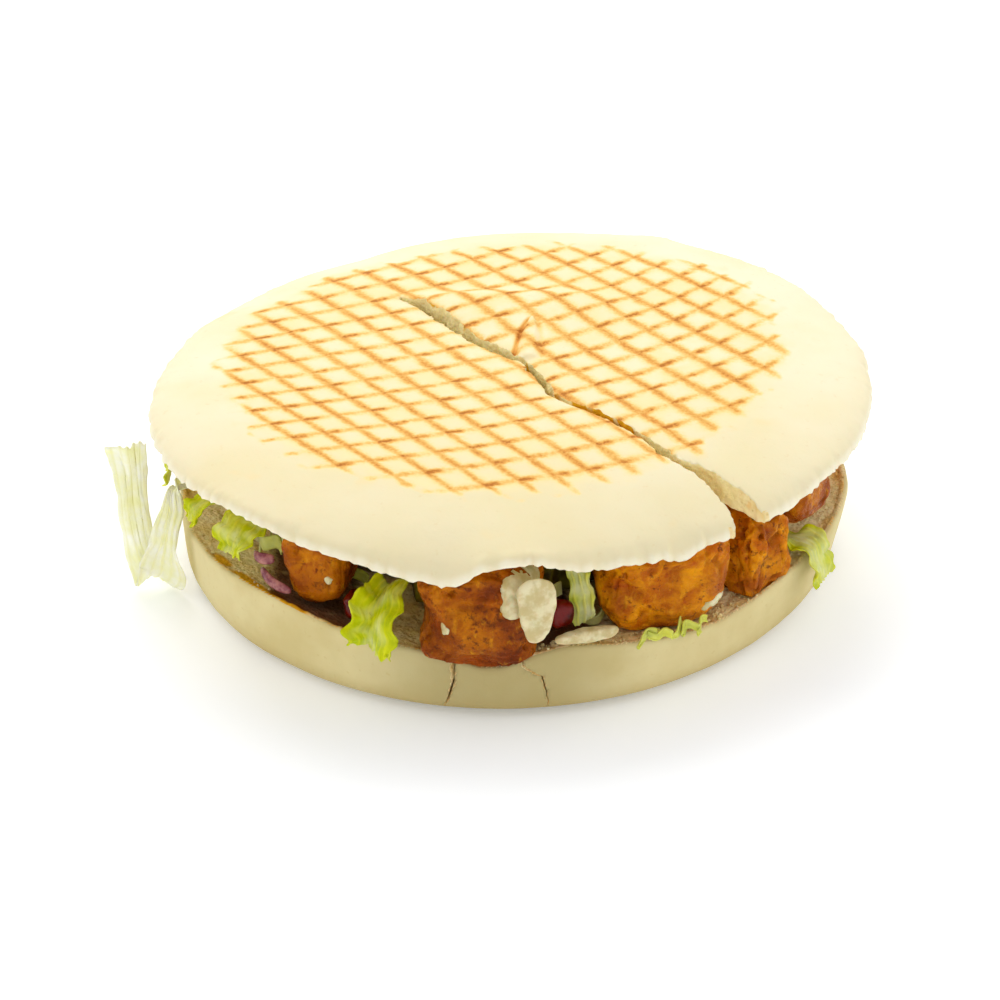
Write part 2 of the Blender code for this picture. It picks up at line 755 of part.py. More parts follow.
def main():
    clear_scene()
    lower_bread()
    upper_bread()
    meat()
    salad()
    leaves()
    soft_pieces()
    for node in bpy.context.scene.collection.objects:
        finish(node)


main()
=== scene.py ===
"""Looks of a round toasted flat-bread sandwich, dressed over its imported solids.

Lengths are millimetres until a mesh is made. The frame is the solids' own: +Z up, the open front
faces -Y, and the origin is the middle of the lower bread's flat base. Azimuths are degrees from
+X towards +Y.
"""

import math

import bpy
import numpy as np
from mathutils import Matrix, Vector
from mathutils.bvhtree import BVHTree


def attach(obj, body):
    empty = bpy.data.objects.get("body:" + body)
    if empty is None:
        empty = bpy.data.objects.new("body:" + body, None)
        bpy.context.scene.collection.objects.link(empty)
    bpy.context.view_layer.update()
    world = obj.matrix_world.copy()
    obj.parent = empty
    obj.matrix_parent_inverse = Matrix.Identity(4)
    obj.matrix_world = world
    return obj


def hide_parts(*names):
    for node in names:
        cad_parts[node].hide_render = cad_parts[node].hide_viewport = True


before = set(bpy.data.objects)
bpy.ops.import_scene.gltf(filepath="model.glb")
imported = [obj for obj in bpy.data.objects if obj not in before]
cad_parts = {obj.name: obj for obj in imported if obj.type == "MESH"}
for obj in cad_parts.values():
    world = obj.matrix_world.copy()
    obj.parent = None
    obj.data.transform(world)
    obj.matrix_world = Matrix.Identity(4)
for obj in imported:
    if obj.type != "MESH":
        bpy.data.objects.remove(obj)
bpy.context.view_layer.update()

MM = 0.001
GAP = 0.45
RIPPLE_WAVES = 7

# Lower bread
BASE_RADIUS = 94.8
BASE_BULGE = ((0, 30, 4.2),)
WALL_FLARE = ((3, 30, 3.2),)
FLARE_ALL_ROUND = 1.7
RIM_HEIGHT = 21.6
RIM_WAVES = ((-134, 17, 3.4), (-92, 6, -4.4), (-78, 6, 2.0), (-50, 13, -3.2), (0, 22, 2.4), (110, 25, 1.2))
WALL_ROUND = 5.5
CRUMB_HEIGHT = 17.0
CRUMB_BUMP = 0.5
CRACK_DEPTH = 10.0
# The cracks' knots: azimuth, height and half width
CRACK_LEFT = (
    (-97.3, 24.0, 1.5),
    (-98.1, 17.0, 1.2),
    (-98.0, 11.0, 0.9),
    (-99.0, 6.5, 0.7),
    (-99.7, 3.0, 0.3),
)
CRACK_RIGHT = (
    (-87.0, 24.0, 1.0),
    (-86.2, 17.5, 0.8),
    (-83.0, 14.0, 0.6),
    (-82.4, 9.0, 0.5),
    (-82.0, 4.0, 0.25),
)
CRACK_SHAKE = 0.22
CRACK_NARROWING = (0.5, 0.85)
# Rings over the rim: share of the wall's radius, drop below the rim, how much of the fraying
RIM_RINGS = ((1.0, 0.6, 0.0), (0.996, 0.2, 0.5), (0.989, 0.05, 1.0), (0.982, 0.3, 1.6))
CRUMB_SHARES = (np.linspace(0.974, 0.64, 48), np.linspace(0.6, 0.06, 9))
LOWER_NOISE_RADIUS = 96
INSIDE_RIM = 0.988

# Upper bread
TOP_CENTRE = (2.6, 1.9)
LIP_RADIUS = 107.6
LIP_OVAL = (0.0345, 56.0)
LIP_EGG = (0.0247, -19.4)
LIP_HEIGHT = 52.2
LIP_SLOPE = (0.0045, -0.038)
LIP_TWIST = (4.1, 23.5)
LIP_WAVES = (
    (-132, 9, 2.2),
    (-104, 7, -3.0),
    (-98.5, 2.6, -2.4),
    (-88, 6.5, 3.3),
    (-63, 2.6, -2.2),
    (-32, 6, 1.5),
    (20, 8, -1.6),
    (64, 5, 1.8),
    (118, 9, -1.8),
    (160, 6, 1.4),
)
LIP_THICKNESS = 1.5
CROWN = 9.9
CROWN_POWER = 5
UPPER_NOISE_RADIUS = 107
# Shares of the lip's radius at which rings lie: over the crown, round the lip with a lift, underneath
CROWN_SHARES = (
    np.linspace(0.008, 0.93, 104),
    np.linspace(0.938, 0.985, 7),
    (0.989, 0.9925, 0.9955, 0.998, 1.0),
)
LIP_RINGS = ((1.0, 0.75), (0.994, 0.75), (0.984, 0.6), (0.970, 0.3), (0.955, 0.1))
UNDER_SHARES = (np.linspace(0.945, 0.60, 22), np.linspace(0.55, 0.05, 6))
RAGGED_FROM = 0.955

# The cut in the upper bread: x, y and half width from its closed end out past the lip
CUT_PATH = (
    (-31.0, 46.0, 0.25),
    (-24.5, 40.5, 1.0),
    (-17.5, 30.0, 1.7),
    (-10.0, 18.5, 1.5),
    (-2.0, 9.5, 1.8),
    (6.5, 2.0, 1.0),
    (11.2, -8.0, 1.4),
    (14.5, -19.0, 1.0),
    (18.5, -24.0, 0.6),
    (28.0, -31.0, 1.2),
    (38.0, -41.5, 0.8),
    (47.0, -54.0, 1.2),
    (54.5, -59.5, 1.8),
    (60.0, -65.5, 2.4),
    (65.0, -71.5, 3.8),
    (70.0, -78.5, 5.2),
    (80.0, -92.0, 7.0),
)
FLAP_FROM = (7.8, 2.6)
FLAP_TO = (9.4, 26.7)
FLAP_HALF_WIDTH = 3.9
FLAP_RISE = 1.1
FLAP_GROOVE = 0.7
# Where juice or sauce has soaked in, the dark red between the pieces being partly painted shade: from, to and
# the soft edge's width, in x or azimuth
JUICE_AND_SHADE_SPAN = (-69, -38, 5)
JUICE_AND_SHADE_AZIMUTHS = (-85, -70, 3)
STAIN_SPAN = (12, 44, 6)
CUT_LOW = 38.0
CUT_HIGH = 72.0
HUMP_HEIGHT = 3.0
HUMP_AT = (2.0, 40.0)
HUMP_HALF_LENGTH = 34.0
HUMP_BACK = 8.0
HUMP_FRONT = 20.0

# Grill marks: each family's direction in degrees, spacing, offset and bends over 100 mm
MARK_LINES = {
    "smooth": (-55.1, 10.88, 0.73, (0.02, -0.03, -0.08, 0.03, -0.01, 0.08, -0.16)),
    "dashed": (25.7, 10.05, 0.56, (-0.08, -0.18, -0.02, 0.03, -0.06, -0.09, -0.02)),
}
MARK_CENTRE = (0.0, 4.0)
MARK_RADIUS = 82.0
MARK_EDGE = ((45, 40, 7.0), (-50, 32, -5.5), (-135, 30, 2.0))

# Chicken pieces: azimuth, distance out, height of the middle, width round, depth in, height, turn
MEAT = {
    "meat_front_left": (-128.2, 82.0, 35.0, 19.5, 18.5, 25.0, 22),
    "meat_front": (-93.8, 84.5, 32.0, 33.0, 31.0, 36.0, 2),
    "meat_front_right": (-57.6, 83.0, 33.8, 38.0, 24.0, 31.0, -12),
    "meat_torn": (-36.4, 87.6, 29.5, 18.0, 20.0, 28.0, -2),
    "meat_right_high": (-21.0, 88.0, 39.0, 22.0, 23.0, 19.0, -8),
    "meat_right": (3.0, 84.0, 36.0, 30.0, 28.0, 27.0, 8),
    "meat_right_back": (29.0, 82.0, 34.5, 29.0, 27.0, 26.0, -6),
    "meat_back_right": (53.5, 81.0, 33.0, 28.0, 26.0, 25.0, 10),
    "meat_back": (82.0, 80.0, 32.5, 29.0, 26.0, 24.0, -5),
    "meat_back_left": (108.0, 80.5, 33.0, 27.0, 26.0, 25.0, 7),
    "meat_left_back": (136.0, 81.0, 34.5, 29.0, 27.0, 26.0, -8),
    "meat_left": (161.0, 81.0, 35.5, 26.0, 27.0, 26.0, 6),
}
MEAT_SQUARENESS = 0.42
MEAT_LUMP = 1.5
# How torn, how golden and how charred each piece is, from 0 to 1
MEAT_LOOK = {
    "meat_front_left": (0.2, 0.35, 0.2),
    "meat_front": (0.35, 0.15, 0.55),
    "meat_front_right": (0.3, 0.75, 0.15),
    "meat_torn": (1.0, 0.6, 0.35),
    "meat_right_high": (0.3, 0.45, 0.2),
}
MEAT_LOOK_ELSEWHERE = (0.45, 0.45, 0.3)

# Salad in the middle
SALAD_RADIUS = 63.0
SALAD_GAP = 1.2
SALAD_WAVES = (
    (-150, 14, 15.0),
    (-109, 4, 11.0),
    (-79, 3.5, 9.0),
    (-9, 3, 9.0),
    (68, 4, 10.0),
    (121, 4, 10.0),
    (178, 6, 12.0),
)

LEAF_THICKNESS = 0.55
LEAF_LOWEST = 0.8
# The leaf that hangs out on the left: down to the base, then back up; its across ways and widths
OUTER_LEAF = (
    (-84.0, -22.0, 34.0),
    (-95.1, -28.5, 36.0),
    (-96.5, -29.5, 27.5),
    (-98.2, -30.5, 19.5),
    (-99.6, -30.5, 12.5),
    (-100.8, -29.5, 6.6),
    (-103.5, -26.5, 4.9),
    (-106.0, -24.0, 10.0),
    (-107.6, -23.0, 18.0),
    (-108.3, -23.0, 28.0),
    (-108.4, -23.5, 38.0),
    (-108.8, -25.0, 47.5),
)
OUTER_LEAF_ACROSS = (
    (0.2, 1, 0.1),
    (0.9, -0.5, 0.3),
    (1, -0.2, -0.2),
    (1, 0, -0.1),
    (1, 0.15, 0),
    (1, 0.3, 0.1),
)
OUTER_LEAF_WIDTHS = (5, 4, 5.5, 9, 13, 14, 12, 9.5, 9, 10.5, 12, 11.5)

# Leaves: spine as azimuth, distance out and height, ways across, widths, then ruffle, curl, seed, tint
LEAVES = {
    "lettuce_front": (
        ((-110.8, 84, 35), (-110.5, 92, 35.5), (-110.3, 98, 33), (-110.3, 101, 28), (-110.5, 101.6, 23.2)),
        ((1, -0.35, 0), (1, -0.4, 0.1), (1, -0.4, 0.1)),
        (9, 13, 15, 15.5, 14),
        (0.6, 0.4, 7, 0.95),
    ),
    "lettuce_left_bright": (
        ((-155.5, 82, 36), (-155.5, 90, 37.5), (-155.5, 96.5, 35), (-155.5, 98, 31)),
        ((0.4, -1, 0.2), (0.4, -1, 0.1)),
        (7, 10, 11, 8),
        (0.5, 0.3, 9, 1.0),
    ),
    "lettuce_left_pale": (
        ((-144, 80, 38), (-144, 88, 38), (-143.5, 94, 35.5), (-143, 96, 31)),
        ((0.55, -0.8, -0.2), (0.55, -0.8, -0.2)),
        (9, 14, 15, 10),
        (0.4, 0.25, 10, 0.9),
    ),
    "lettuce_middle": (
        ((-75.5, 80, 46), (-75.3, 84, 40), (-75.0, 87, 33), (-74.8, 88.5, 26)),
        ((1, 0.2, 0), (1, 0.2, 0)),
        (5, 6, 7, 6),
        (0.35, 0.2, 12, 0.7),
    ),
    "lettuce_right": (
        ((-24.2, 84, 24.0), (-24.4, 91, 24.6), (-25.0, 98.5, 25.3), (-25.6, 102.6, 20.5), (-25.4, 103.4, 14)),
        ((0.45, 0.9, 0), (0.45, 0.9, 0)),
        (7, 9, 13, 14.5, 10),
        (0.8, 0.12, 13, 0.8),
    ),
    "lettuce_back_right": (
        ((67.8, 84, 31), (67.8, 92, 31.5), (67.8, 99.5, 29), (67.8, 103, 22), (67.8, 103.5, 14)),
        ((-0.93, 0.37, 0), (-0.93, 0.37, 0)),
        (5, 6, 17, 22, 16),
        (0.8, 0.15, 15, 0.3),
    ),
    "lettuce_back_left": (
        ((122, 84, 33), (122, 92, 34), (122, 99, 31), (122.5, 102.5, 24), (123, 103, 17)),
        ((-0.85, -0.53, 0), (-0.85, -0.53, 0)),
        (5, 6, 15, 19, 13),
        (0.8, 0.2, 17, 0.5),
    ),
    "lettuce_left": (
        ((178, 80, 30), (178, 90, 30.5), (178, 97, 27.5), (178, 101, 20)),
        ((0, -1, 0.1), (0, -1, 0)),
        (8, 12, 15, 11),
        (0.6, 0.2, 19, 0.6),
    ),
}
LEAF_EXTRAS = {"lettuce_front": {"fold": 0.34, "ribs": 4.2}, "lettuce_middle": {"ribs": 1.5}}

# Soft lumps: azimuth, distance out and height, then width, depth and height, then turn, bump and seed
SOFT_LUMPS = {
    "sauce_drip": ((-84.6, 103.2, 41.0), (11.5, 4.0, 21.0), 4, 0.4, 41),
    "sauce_pool": ((-75.6, 96.0, 26.6), (19.0, 4.2, 4.6), 2, 0.25, 42),
    "sauce_left": ((-171.0, 93.0, 33.0), (9.0, 6.0, 9.0), 0, 0.5, 43),
    "tomato_front_left": ((-117.2, 88.0, 27.0), (7.5, 9.0, 9.0), 0, 0.3, 44),
    "tomato_middle": ((-79.4, 91.0, 31.5), (7.0, 6.0, 9.0), 0, 0.3, 45),
    "tomato_back": ((95.2, 84.0, 30.0), (5.0, 17.0, 14.0), 0, 0.3, 46),
    "tomato_left": ((148.6, 86.0, 31.0), (4.6, 16.0, 13.0), 0, 0.3, 47),
}
SOFT_SQUARENESS = {"sauce": 0.75, "tomato": 0.62}
DRIP_TAPER = {"sauce_drip": 0.4}
# Onion strips: azimuth, distance out and height, then length and lean in degrees from level
ONIONS = {
    "onion_left_high": ((-136.6, 92.5, 34.0), 8.5, 14),
    "onion_left_low": ((-133.4, 93.0, 28.5), 12.0, -12),
    "onion_right_back": ((16.2, 91.0, 33.0), 14.0, 82),
    "onion_back": ((41.6, 89.0, 30.0), 13.0, 85),
}

# How fine the pieces are: points round, then cells along a side
LOWER_COUNT = 420
UPPER_COUNT = 540
SALAD_COUNT = 160
CRACK_STEPS = 26
BLADE_PLACES = 250
BLADE_LEVELS = 30
SHOWN_MEAT_CELLS = 72
HIDDEN_MEAT_CELLS = 36
SHOWN_MEAT = 5
SOFT_CELLS = 24
# Spreads a cube's cells about evenly over the ball
EVEN_CELLS = 0.72

FLOOR_LEVEL = -0.0004
FLOOR_SIZE = 8
FLOOR_GLOW = 0.2
FLOOR_GLOW_COLOUR = (0.75, 0.87, 1.0, 1.0)
SKY_BRIGHT_WAY = (0.0, 0.6, 0.8)
SKY_SPAN = (-0.4, 0.9)
SKY_DIM = 0.33
SKY_BRIGHT = 0.74
LIGHTS_AIM = (0, 0, 0.03)
# Lights: name, place in metres, size, power
LIGHTS = (
    ("soft_back", (-0.25, 0.75, 1.15), 1.0, 8.5),
    ("soft_right", (1.0, 0.1, 0.7), 0.8, 3.0),
    ("soft_left", (-1.0, 0.0, 0.7), 0.8, 2.5),
    ("soft_front", (0.1, -1.2, 0.35), 1.0, 3.2),
)
# Level rays from outside find where a smear lies
RAY_START = 125
RAY_REACH = 60
DAB_COUNT = 40
DAB_RINGS = 9
DAB_SUNK = 0.5
# Thin smears: azimuth, height, half size round and up, thickness
SMEARS = (
    (-99.0, 32.0, 1.6, 2.0, 0.4),
    (-87.0, 42.5, 7.0, 5.5, 1.5),
    (-83.0, 38.0, 4.0, 5.0, 1.2),
    (-50.8, 26.0, 4.4, 3.4, 0.6),
    (-47.0, 23.5, 3.0, 2.0, 0.8),
    (-66.5, 23.5, 6.0, 1.1, 0.6),
    (-44.0, 22.0, 4.5, 1.0, 0.5),
    (-118.5, 42.0, 3.0, 3.2, 1.0),
    (-123.0, 33.0, 1.2, 1.6, 0.4),
    (12.0, 36.0, 3.5, 3.0, 0.9),
    (84.0, 34.0, 4.0, 3.0, 0.9),
    (134.0, 37.0, 3.0, 3.6, 0.9),
    (160.0, 34.0, 3.4, 2.6, 0.9),
)
CRUMB_COUNT = 150
CRUMB_AZIMUTHS = (-90, -40)
SHRED_COUNT = 90
SHRED_GAP = 0.9
SHRED_THICKNESS = 0.5
RIM_SHRED_GAP = 0.5
RIM_SHRED_TINT = 0.8
RIM_SHRED_RIB = 0.5
# Small strips on the rim: azimuth, distance out, height, length, width
RIM_SHREDS = (
    (-65.5, 96.2, 22.6, 8.0, 2.6),
    (-62.8, 96.8, 22.4, 7.0, 3.0),
    (-60.0, 96.6, 22.0, 8.0, 2.4),
    (-57.2, 97.2, 21.6, 6.0, 3.2),
    (-54.6, 96.8, 21.2, 6.0, 2.6),
)
# The camera: place in metres, degrees down, lens in millimetres
CAMERA_PLACE = (-0.00029, -0.91875, 0.56654)
CAMERA_DOWN = 31.0
CAMERA_LENS = 127.8
CAMERA_SENSOR = 36

# Screen colours from 0 to 255
CRUST_CREAM = (246, 236, 204)
CRUST_STRAW = (241, 228, 184)
# Painted shade for the front of the crust, away from the light behind
CRUST_FRONT_SHADE = (228, 213, 168)
CRUST_BLOTCH = (246, 216, 150)
LIP_FLOUR = (254, 248, 226)
CRUST_FLECK = (222, 194, 132)
DISC_WARM = (248, 228, 174)
DISC_HOT = (247, 208, 130)
MARK_TAN = (248, 219, 150)
MARK_GOLD = (240, 190, 104)
MARK_BROWN = (226, 158, 74)
MARK_DARK = (190, 118, 46)
WALL_PALE = (228, 213, 160)
WALL_STRAW = (214, 196, 138)
# Painted shade for the wall's front middle
WALL_FRONT_SHADE = (164, 148, 96)
# Painted shade for the wall near its base
WALL_LOW_SHADE = (182, 156, 96)
WALL_FLECK = (196, 168, 104)
CRUMB_PALE = (250, 232, 182)
CRUMB_GOLD = (238, 208, 136)
# Painted shade inside the crumb's holes
CRUMB_HOLE_SHADE = (206, 176, 104)
CUT_PALE = (253, 238, 176)
SPICED_OIL = (232, 172, 34)
# Dark red, partly juice and partly painted shade between the pieces and in the cracks
JUICE_AND_SHADE_RED = (84, 18, 4)
RUST_DARK = (110, 42, 0)
RUST_LIGHT = (158, 70, 0)
GOLD_DEEP = (194, 100, 0)
GOLD_BRIGHT = (236, 154, 6)
MEAT_PALE = (246, 176, 30)
MEAT_RED = (156, 44, 0)
MEAT_BURNT = (84, 34, 2)
# Painted shade in the chicken's pits
MEAT_PIT_SHADE = (112, 46, 0)
LEAF_WHITE = (254, 254, 232)
LEAF_CREAM = (248, 248, 196)
LEAF_LIME = (206, 214, 14)
LEAF_GREEN = (172, 190, 3)
RIB_PALE = (236, 230, 146)
RIB_GREEN = (226, 222, 36)
SAUCE_LIGHT = (230, 219, 176)
SAUCE_SHADE = (204, 186, 130)
SAUCE_SPECK = (206, 160, 70)
TOMATO_LIGHT = (112, 12, 3)
TOMATO_DARK = (66, 4, 1)
ONION_LIGHT = (178, 118, 112)
ONION_DARK = (120, 52, 66)
SALAD_LIGHT = (150, 140, 40)
SALAD_DARK = (84, 66, 10)
FLOOR_LIGHT = (255, 255, 255)
FLOOR_SHADE = (252, 252, 252)


def waves(azimuth, table):
    """Adds up local rises, each given as its middle and half width in degrees and its height."""
    total = np.zeros_like(np.asarray(azimuth, float))
    for middle, width, height in table:
        off = (np.degrees(azimuth) - middle + 180) % 360 - 180
        total = total + height * np.exp(-((off / width) ** 2))
    return total


def ripple(points, size, seed):
    """Smooth bumps about one high and about size across."""
    rng = np.random.default_rng(seed)
    total = 0
    for _ in range(RIPPLE_WAVES):
        way = rng.normal(size=3)
        way = way / np.linalg.norm(way)
        rate = 2 * math.pi / size * rng.uniform(0.7, 1.4)
        total = total + np.sin(points @ way * rate + rng.uniform(0, 2 * math.pi))
    return total / math.sqrt(RIPPLE_WAVES)


def noise(points, size, seed):
    """Gradient noise from about -1 to 1, with bumps about size across."""
    grid = np.asarray(points, float) / size + 31.7 * seed
    cell = np.floor(grid).astype(np.int64)
    part = grid - cell
    fade = part**3 * (part * (part * 6 - 15) + 10)
    total = np.zeros(grid.shape[:-1])
    for corner in np.ndindex(2, 2, 2):
        at = cell + np.array(corner)
        mixed = at[..., 0] * 73856093 ^ at[..., 1] * 19349663 ^ at[..., 2] * 83492791
        mixed = (mixed ^ (mixed >> 13)) * 1274126177
        mixed = mixed ^ (mixed >> 16)
        turn = (mixed & 0xFFFF) / 0xFFFF * 2 * math.pi
        lift = ((mixed >> 16) & 0xFFFF) / 0xFFFF * 2 - 1
        flat = np.sqrt(1 - lift**2)
        off = part - np.array(corner)
        slope = flat * np.cos(turn) * off[..., 0] + flat * np.sin(turn) * off[..., 1] + lift * off[..., 2]
        weight = np.prod(np.where(np.array(corner) == 1, fade, 1 - fade), axis=-1)
        total += weight * slope
    return total * 1.6


def layered(points, size, seed, layers=3, fall=0.5):
    """Noise with finer layers added."""
    total = 0
    strength = 1.0
    for layer in range(layers):
        total = total + strength * noise(points, size / 2**layer, seed + layer)
        strength *= fall
    return total


def smoothstep(low, high, value):
    t = np.clip((value - low) / (high - low), 0, 1)
    return t * t * (3 - 2 * t)


def window(value, low, high, soft):
    """One between low and high, with soft edges inside them."""
    return smoothstep(low, low + soft, value) * smoothstep(high, high - soft, value)


def polar(x, y, centre=(0, 0)):
    return np.hypot(x - centre[0], y - centre[1]), np.arctan2(y - centre[1], x - centre[0])


def rim_height(azimuth):
    """Height of the lower bread's rim; angles in these functions are radians."""
    return RIM_HEIGHT + waves(azimuth, RIM_WAVES)


def wall_radius(azimuth, height):
    flare = FLARE_ALL_ROUND + waves(azimuth, WALL_FLARE)
    return BASE_RADIUS + waves(azimuth, BASE_BULGE) + flare * height / RIM_HEIGHT


def crumb_height(x, y):
    """Height of the lower bread's cut face."""
    out, azimuth = polar(x, y)
    rim = rim_height(azimuth)
    share = np.clip(out / wall_radius(azimuth, rim), 0, 1)
    points = np.stack([x, y, 0 * x], -1)
    dish = CRUMB_HEIGHT + (rim - CRUMB_HEIGHT) * share**5
    return dish + CRUMB_BUMP * ripple(points, 26.0, 11) * (1 - share**6)


def lip_radius(azimuth):
    oval = LIP_OVAL[0] * np.cos(2 * (azimuth - math.radians(LIP_OVAL[1])))
    egg = LIP_EGG[0] * np.cos(3 * (azimuth - math.radians(LIP_EGG[1])))
    return LIP_RADIUS * (1 + oval + egg)


def lid_floor(x, y):
    """Height that the upper bread's lip has round the edge, carried on inwards."""
    out, azimuth = polar(x, y, TOP_CENTRE)
    share = np.clip(out / lip_radius(azimuth), 0, 1)
    level = LIP_HEIGHT + LIP_SLOPE[0] * x + LIP_SLOPE[1] * y
    twist = LIP_TWIST[0] * np.cos(2 * (azimuth - math.radians(LIP_TWIST[1])))
    return level + twist * share**3 + waves(azimuth, LIP_WAVES) * share**12, share


def cut_distance(x, y):
    """Signed distance from the cut, positive behind it, and the cut's half width there."""
    knots = np.array(CUT_PATH)
    best = np.full(np.shape(x), 1e9)
    width = np.zeros(np.shape(x))
    for start, end in zip(knots[:-1], knots[1:]):
        step = end[:2] - start[:2]
        along = ((x - start[0]) * step[0] + (y - start[1]) * step[1]) / (step @ step)
        along = np.clip(along, 0, 1)
        off_x = x - start[0] - along * step[0]
        off_y = y - start[1] - along * step[1]
        away = np.hypot(off_x, off_y)
        side = np.where(step[0] * off_y - step[1] * off_x >= 0, 1.0, -1.0)
        nearer = away < np.abs(best)
        best = np.where(nearer, side * away, best)
        width = np.where(nearer, start[2] + along * (end[2] - start[2]), width)
    return best, width


def hump(x, y):
    """Rise of the crust behind the cut, steeper at the back."""
    distance, width = cut_distance(x, y)
    from_crest = y - HUMP_AT[1]
    depth = np.where(from_crest > 0, HUMP_BACK, HUMP_FRONT)
    shape = np.exp(-((from_crest / depth) ** 2) - (np.abs(x - HUMP_AT[0]) / HUMP_HALF_LENGTH) ** 4)
    behind = np.clip(0.5 + distance / (2 * np.maximum(width, 0.5)), 0, 1)
    return HUMP_HEIGHT * shape * behind


def crown_height(x, y):
    """Height of the upper bread's crust."""
    floor, share = lid_floor(x, y)
    return floor + CROWN * np.sqrt(np.maximum(1 - share**CROWN_POWER, 0)) + hump(x, y)


def lid_under(x, y):
    """Height of the upper bread's cut face."""
    floor, share = lid_floor(x, y)
    points = np.stack([x, y, 0 * x], -1)
    return floor - LIP_THICKNESS + CRUMB_BUMP * ripple(points, 22.0, 12) * (1 - share**8)


def piece(name, points, faces, material, replaces=None, slot=None):
    """One smooth mesh piece from points in millimetres and an array of faces."""
    points = np.asarray(points, float)
    faces = np.asarray(faces, np.int64)
    corners = points[faces[:, :3]]
    if np.einsum("ij,ij->i", corners[:, 0], np.cross(corners[:, 1], corners[:, 2])).sum() < 0:
        faces = faces[:, ::-1]
    mesh = bpy.data.meshes.new(name)
    mesh.vertices.add(len(points))
    mesh.vertices.foreach_set("co", (points * MM).astype(np.float32).ravel())
    mesh.loops.add(faces.size)
    mesh.loops.foreach_set("vertex_index", faces.astype(np.int32).ravel())
    mesh.polygons.add(len(faces))
    mesh.polygons.foreach_set("loop_start", np.arange(0, faces.size, faces.shape[1], dtype=np.int32))
    mesh.update(calc_edges=True)
    mesh.validate()
    mesh.materials.append(material)
    mesh.shade_smooth()
    made = bpy.data.objects.new(name, mesh)
    bpy.context.scene.collection.objects.link(made)
    if replaces:
        settle(made, replaces)
    return made


def settle(made, node):
    """Puts a piece on the root body in place of a node of the solids."""
    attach(made, "root")
    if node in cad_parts:
        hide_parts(node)


def number_layer(made, name, values):
    layer = made.data.attributes.new(name, "FLOAT", "POINT")
    layer.data.foreach_set("value", np.asarray(values, np.float32))


def mesh_points(made):
    points = np.empty(len(made.data.vertices) * 3, np.float32)
    made.data.vertices.foreach_get("co", points)
    return points.reshape(-1, 3).astype(float) / MM


def corners(*columns):
    """Faces from one array of point numbers for each corner."""
    return np.stack(columns, 1)


def bands(first, rows, count):
    """Triangles between neighbouring rings of count points each, the first ring starting at first."""
    i = np.arange(count)
    j = (i + 1) % count
    faces = []
    for here in range(first, first + (rows - 1) * count, count):
        above = here + count
        faces.append(corners(here + i, here + j, above + j))
        faces.append(corners(here + i, above + j, above + i))
    return faces


def skin(rings, first_pole, last_pole):
    """Points and triangles of a closed skin over rings of equal count, with a pole at each end."""
    count = len(rings[0])
    points = np.concatenate([[first_pole], *rings, [last_pole]])
    last = len(points) - 1
    i = np.arange(count)
    j = (i + 1) % count
    poles = [corners(0 * i, 1 + j, 1 + i), corners(0 * i + last, last - count + i, last - count + j)]
    return points, np.concatenate(poles + bands(1, len(rings), count))


def place_at(azimuth, out, height):
    angle = math.radians(azimuth)
    return np.array([out * math.cos(angle), out * math.sin(angle), height])


def ways_at(azimuth):
    """Level unit ways outwards and round at an azimuth in degrees."""
    outward = place_at(azimuth, 1, 0)
    return outward, np.array([-outward[1], outward[0], 0])


def round_angles(count):
    return np.linspace(0, 2 * math.pi, count, endpoint=False)


def ring_at(angles, out, height):
    """Points at these angles, distances out and heights."""
    return np.stack([out * np.cos(angles), out * np.sin(angles), height], 1)


def face_values(made, key, width):
    """One value or vector of every face."""
    values = np.empty(len(made.data.polygons) * width, np.int32 if width == 1 else np.float32)
    made.data.polygons.foreach_get(key, values)
    return values if width == 1 else values.reshape(-1, width)


def cut_out(target, others):
    """Cuts the other objects out of the target with one EXACT Boolean, and removes them."""
    group = bpy.data.collections.new(target.name + "_others")
    for other in others:
        group.objects.link(other)
    change = target.modifiers.new("cut", "BOOLEAN")
    change.operation = "DIFFERENCE"
    change.operand_type = "COLLECTION"
    change.collection = group
    change.solver = "EXACT"
    change.material_mode = "TRANSFER"
    bpy.context.view_layer.update()
    graph = bpy.context.evaluated_depsgraph_get()
    mesh = bpy.data.meshes.new_from_object(target.evaluated_get(graph))
    target.modifiers.clear()
    target.data = mesh
    for other in others:
        bpy.data.objects.remove(other, do_unlink=True)
    bpy.data.collections.remove(group)


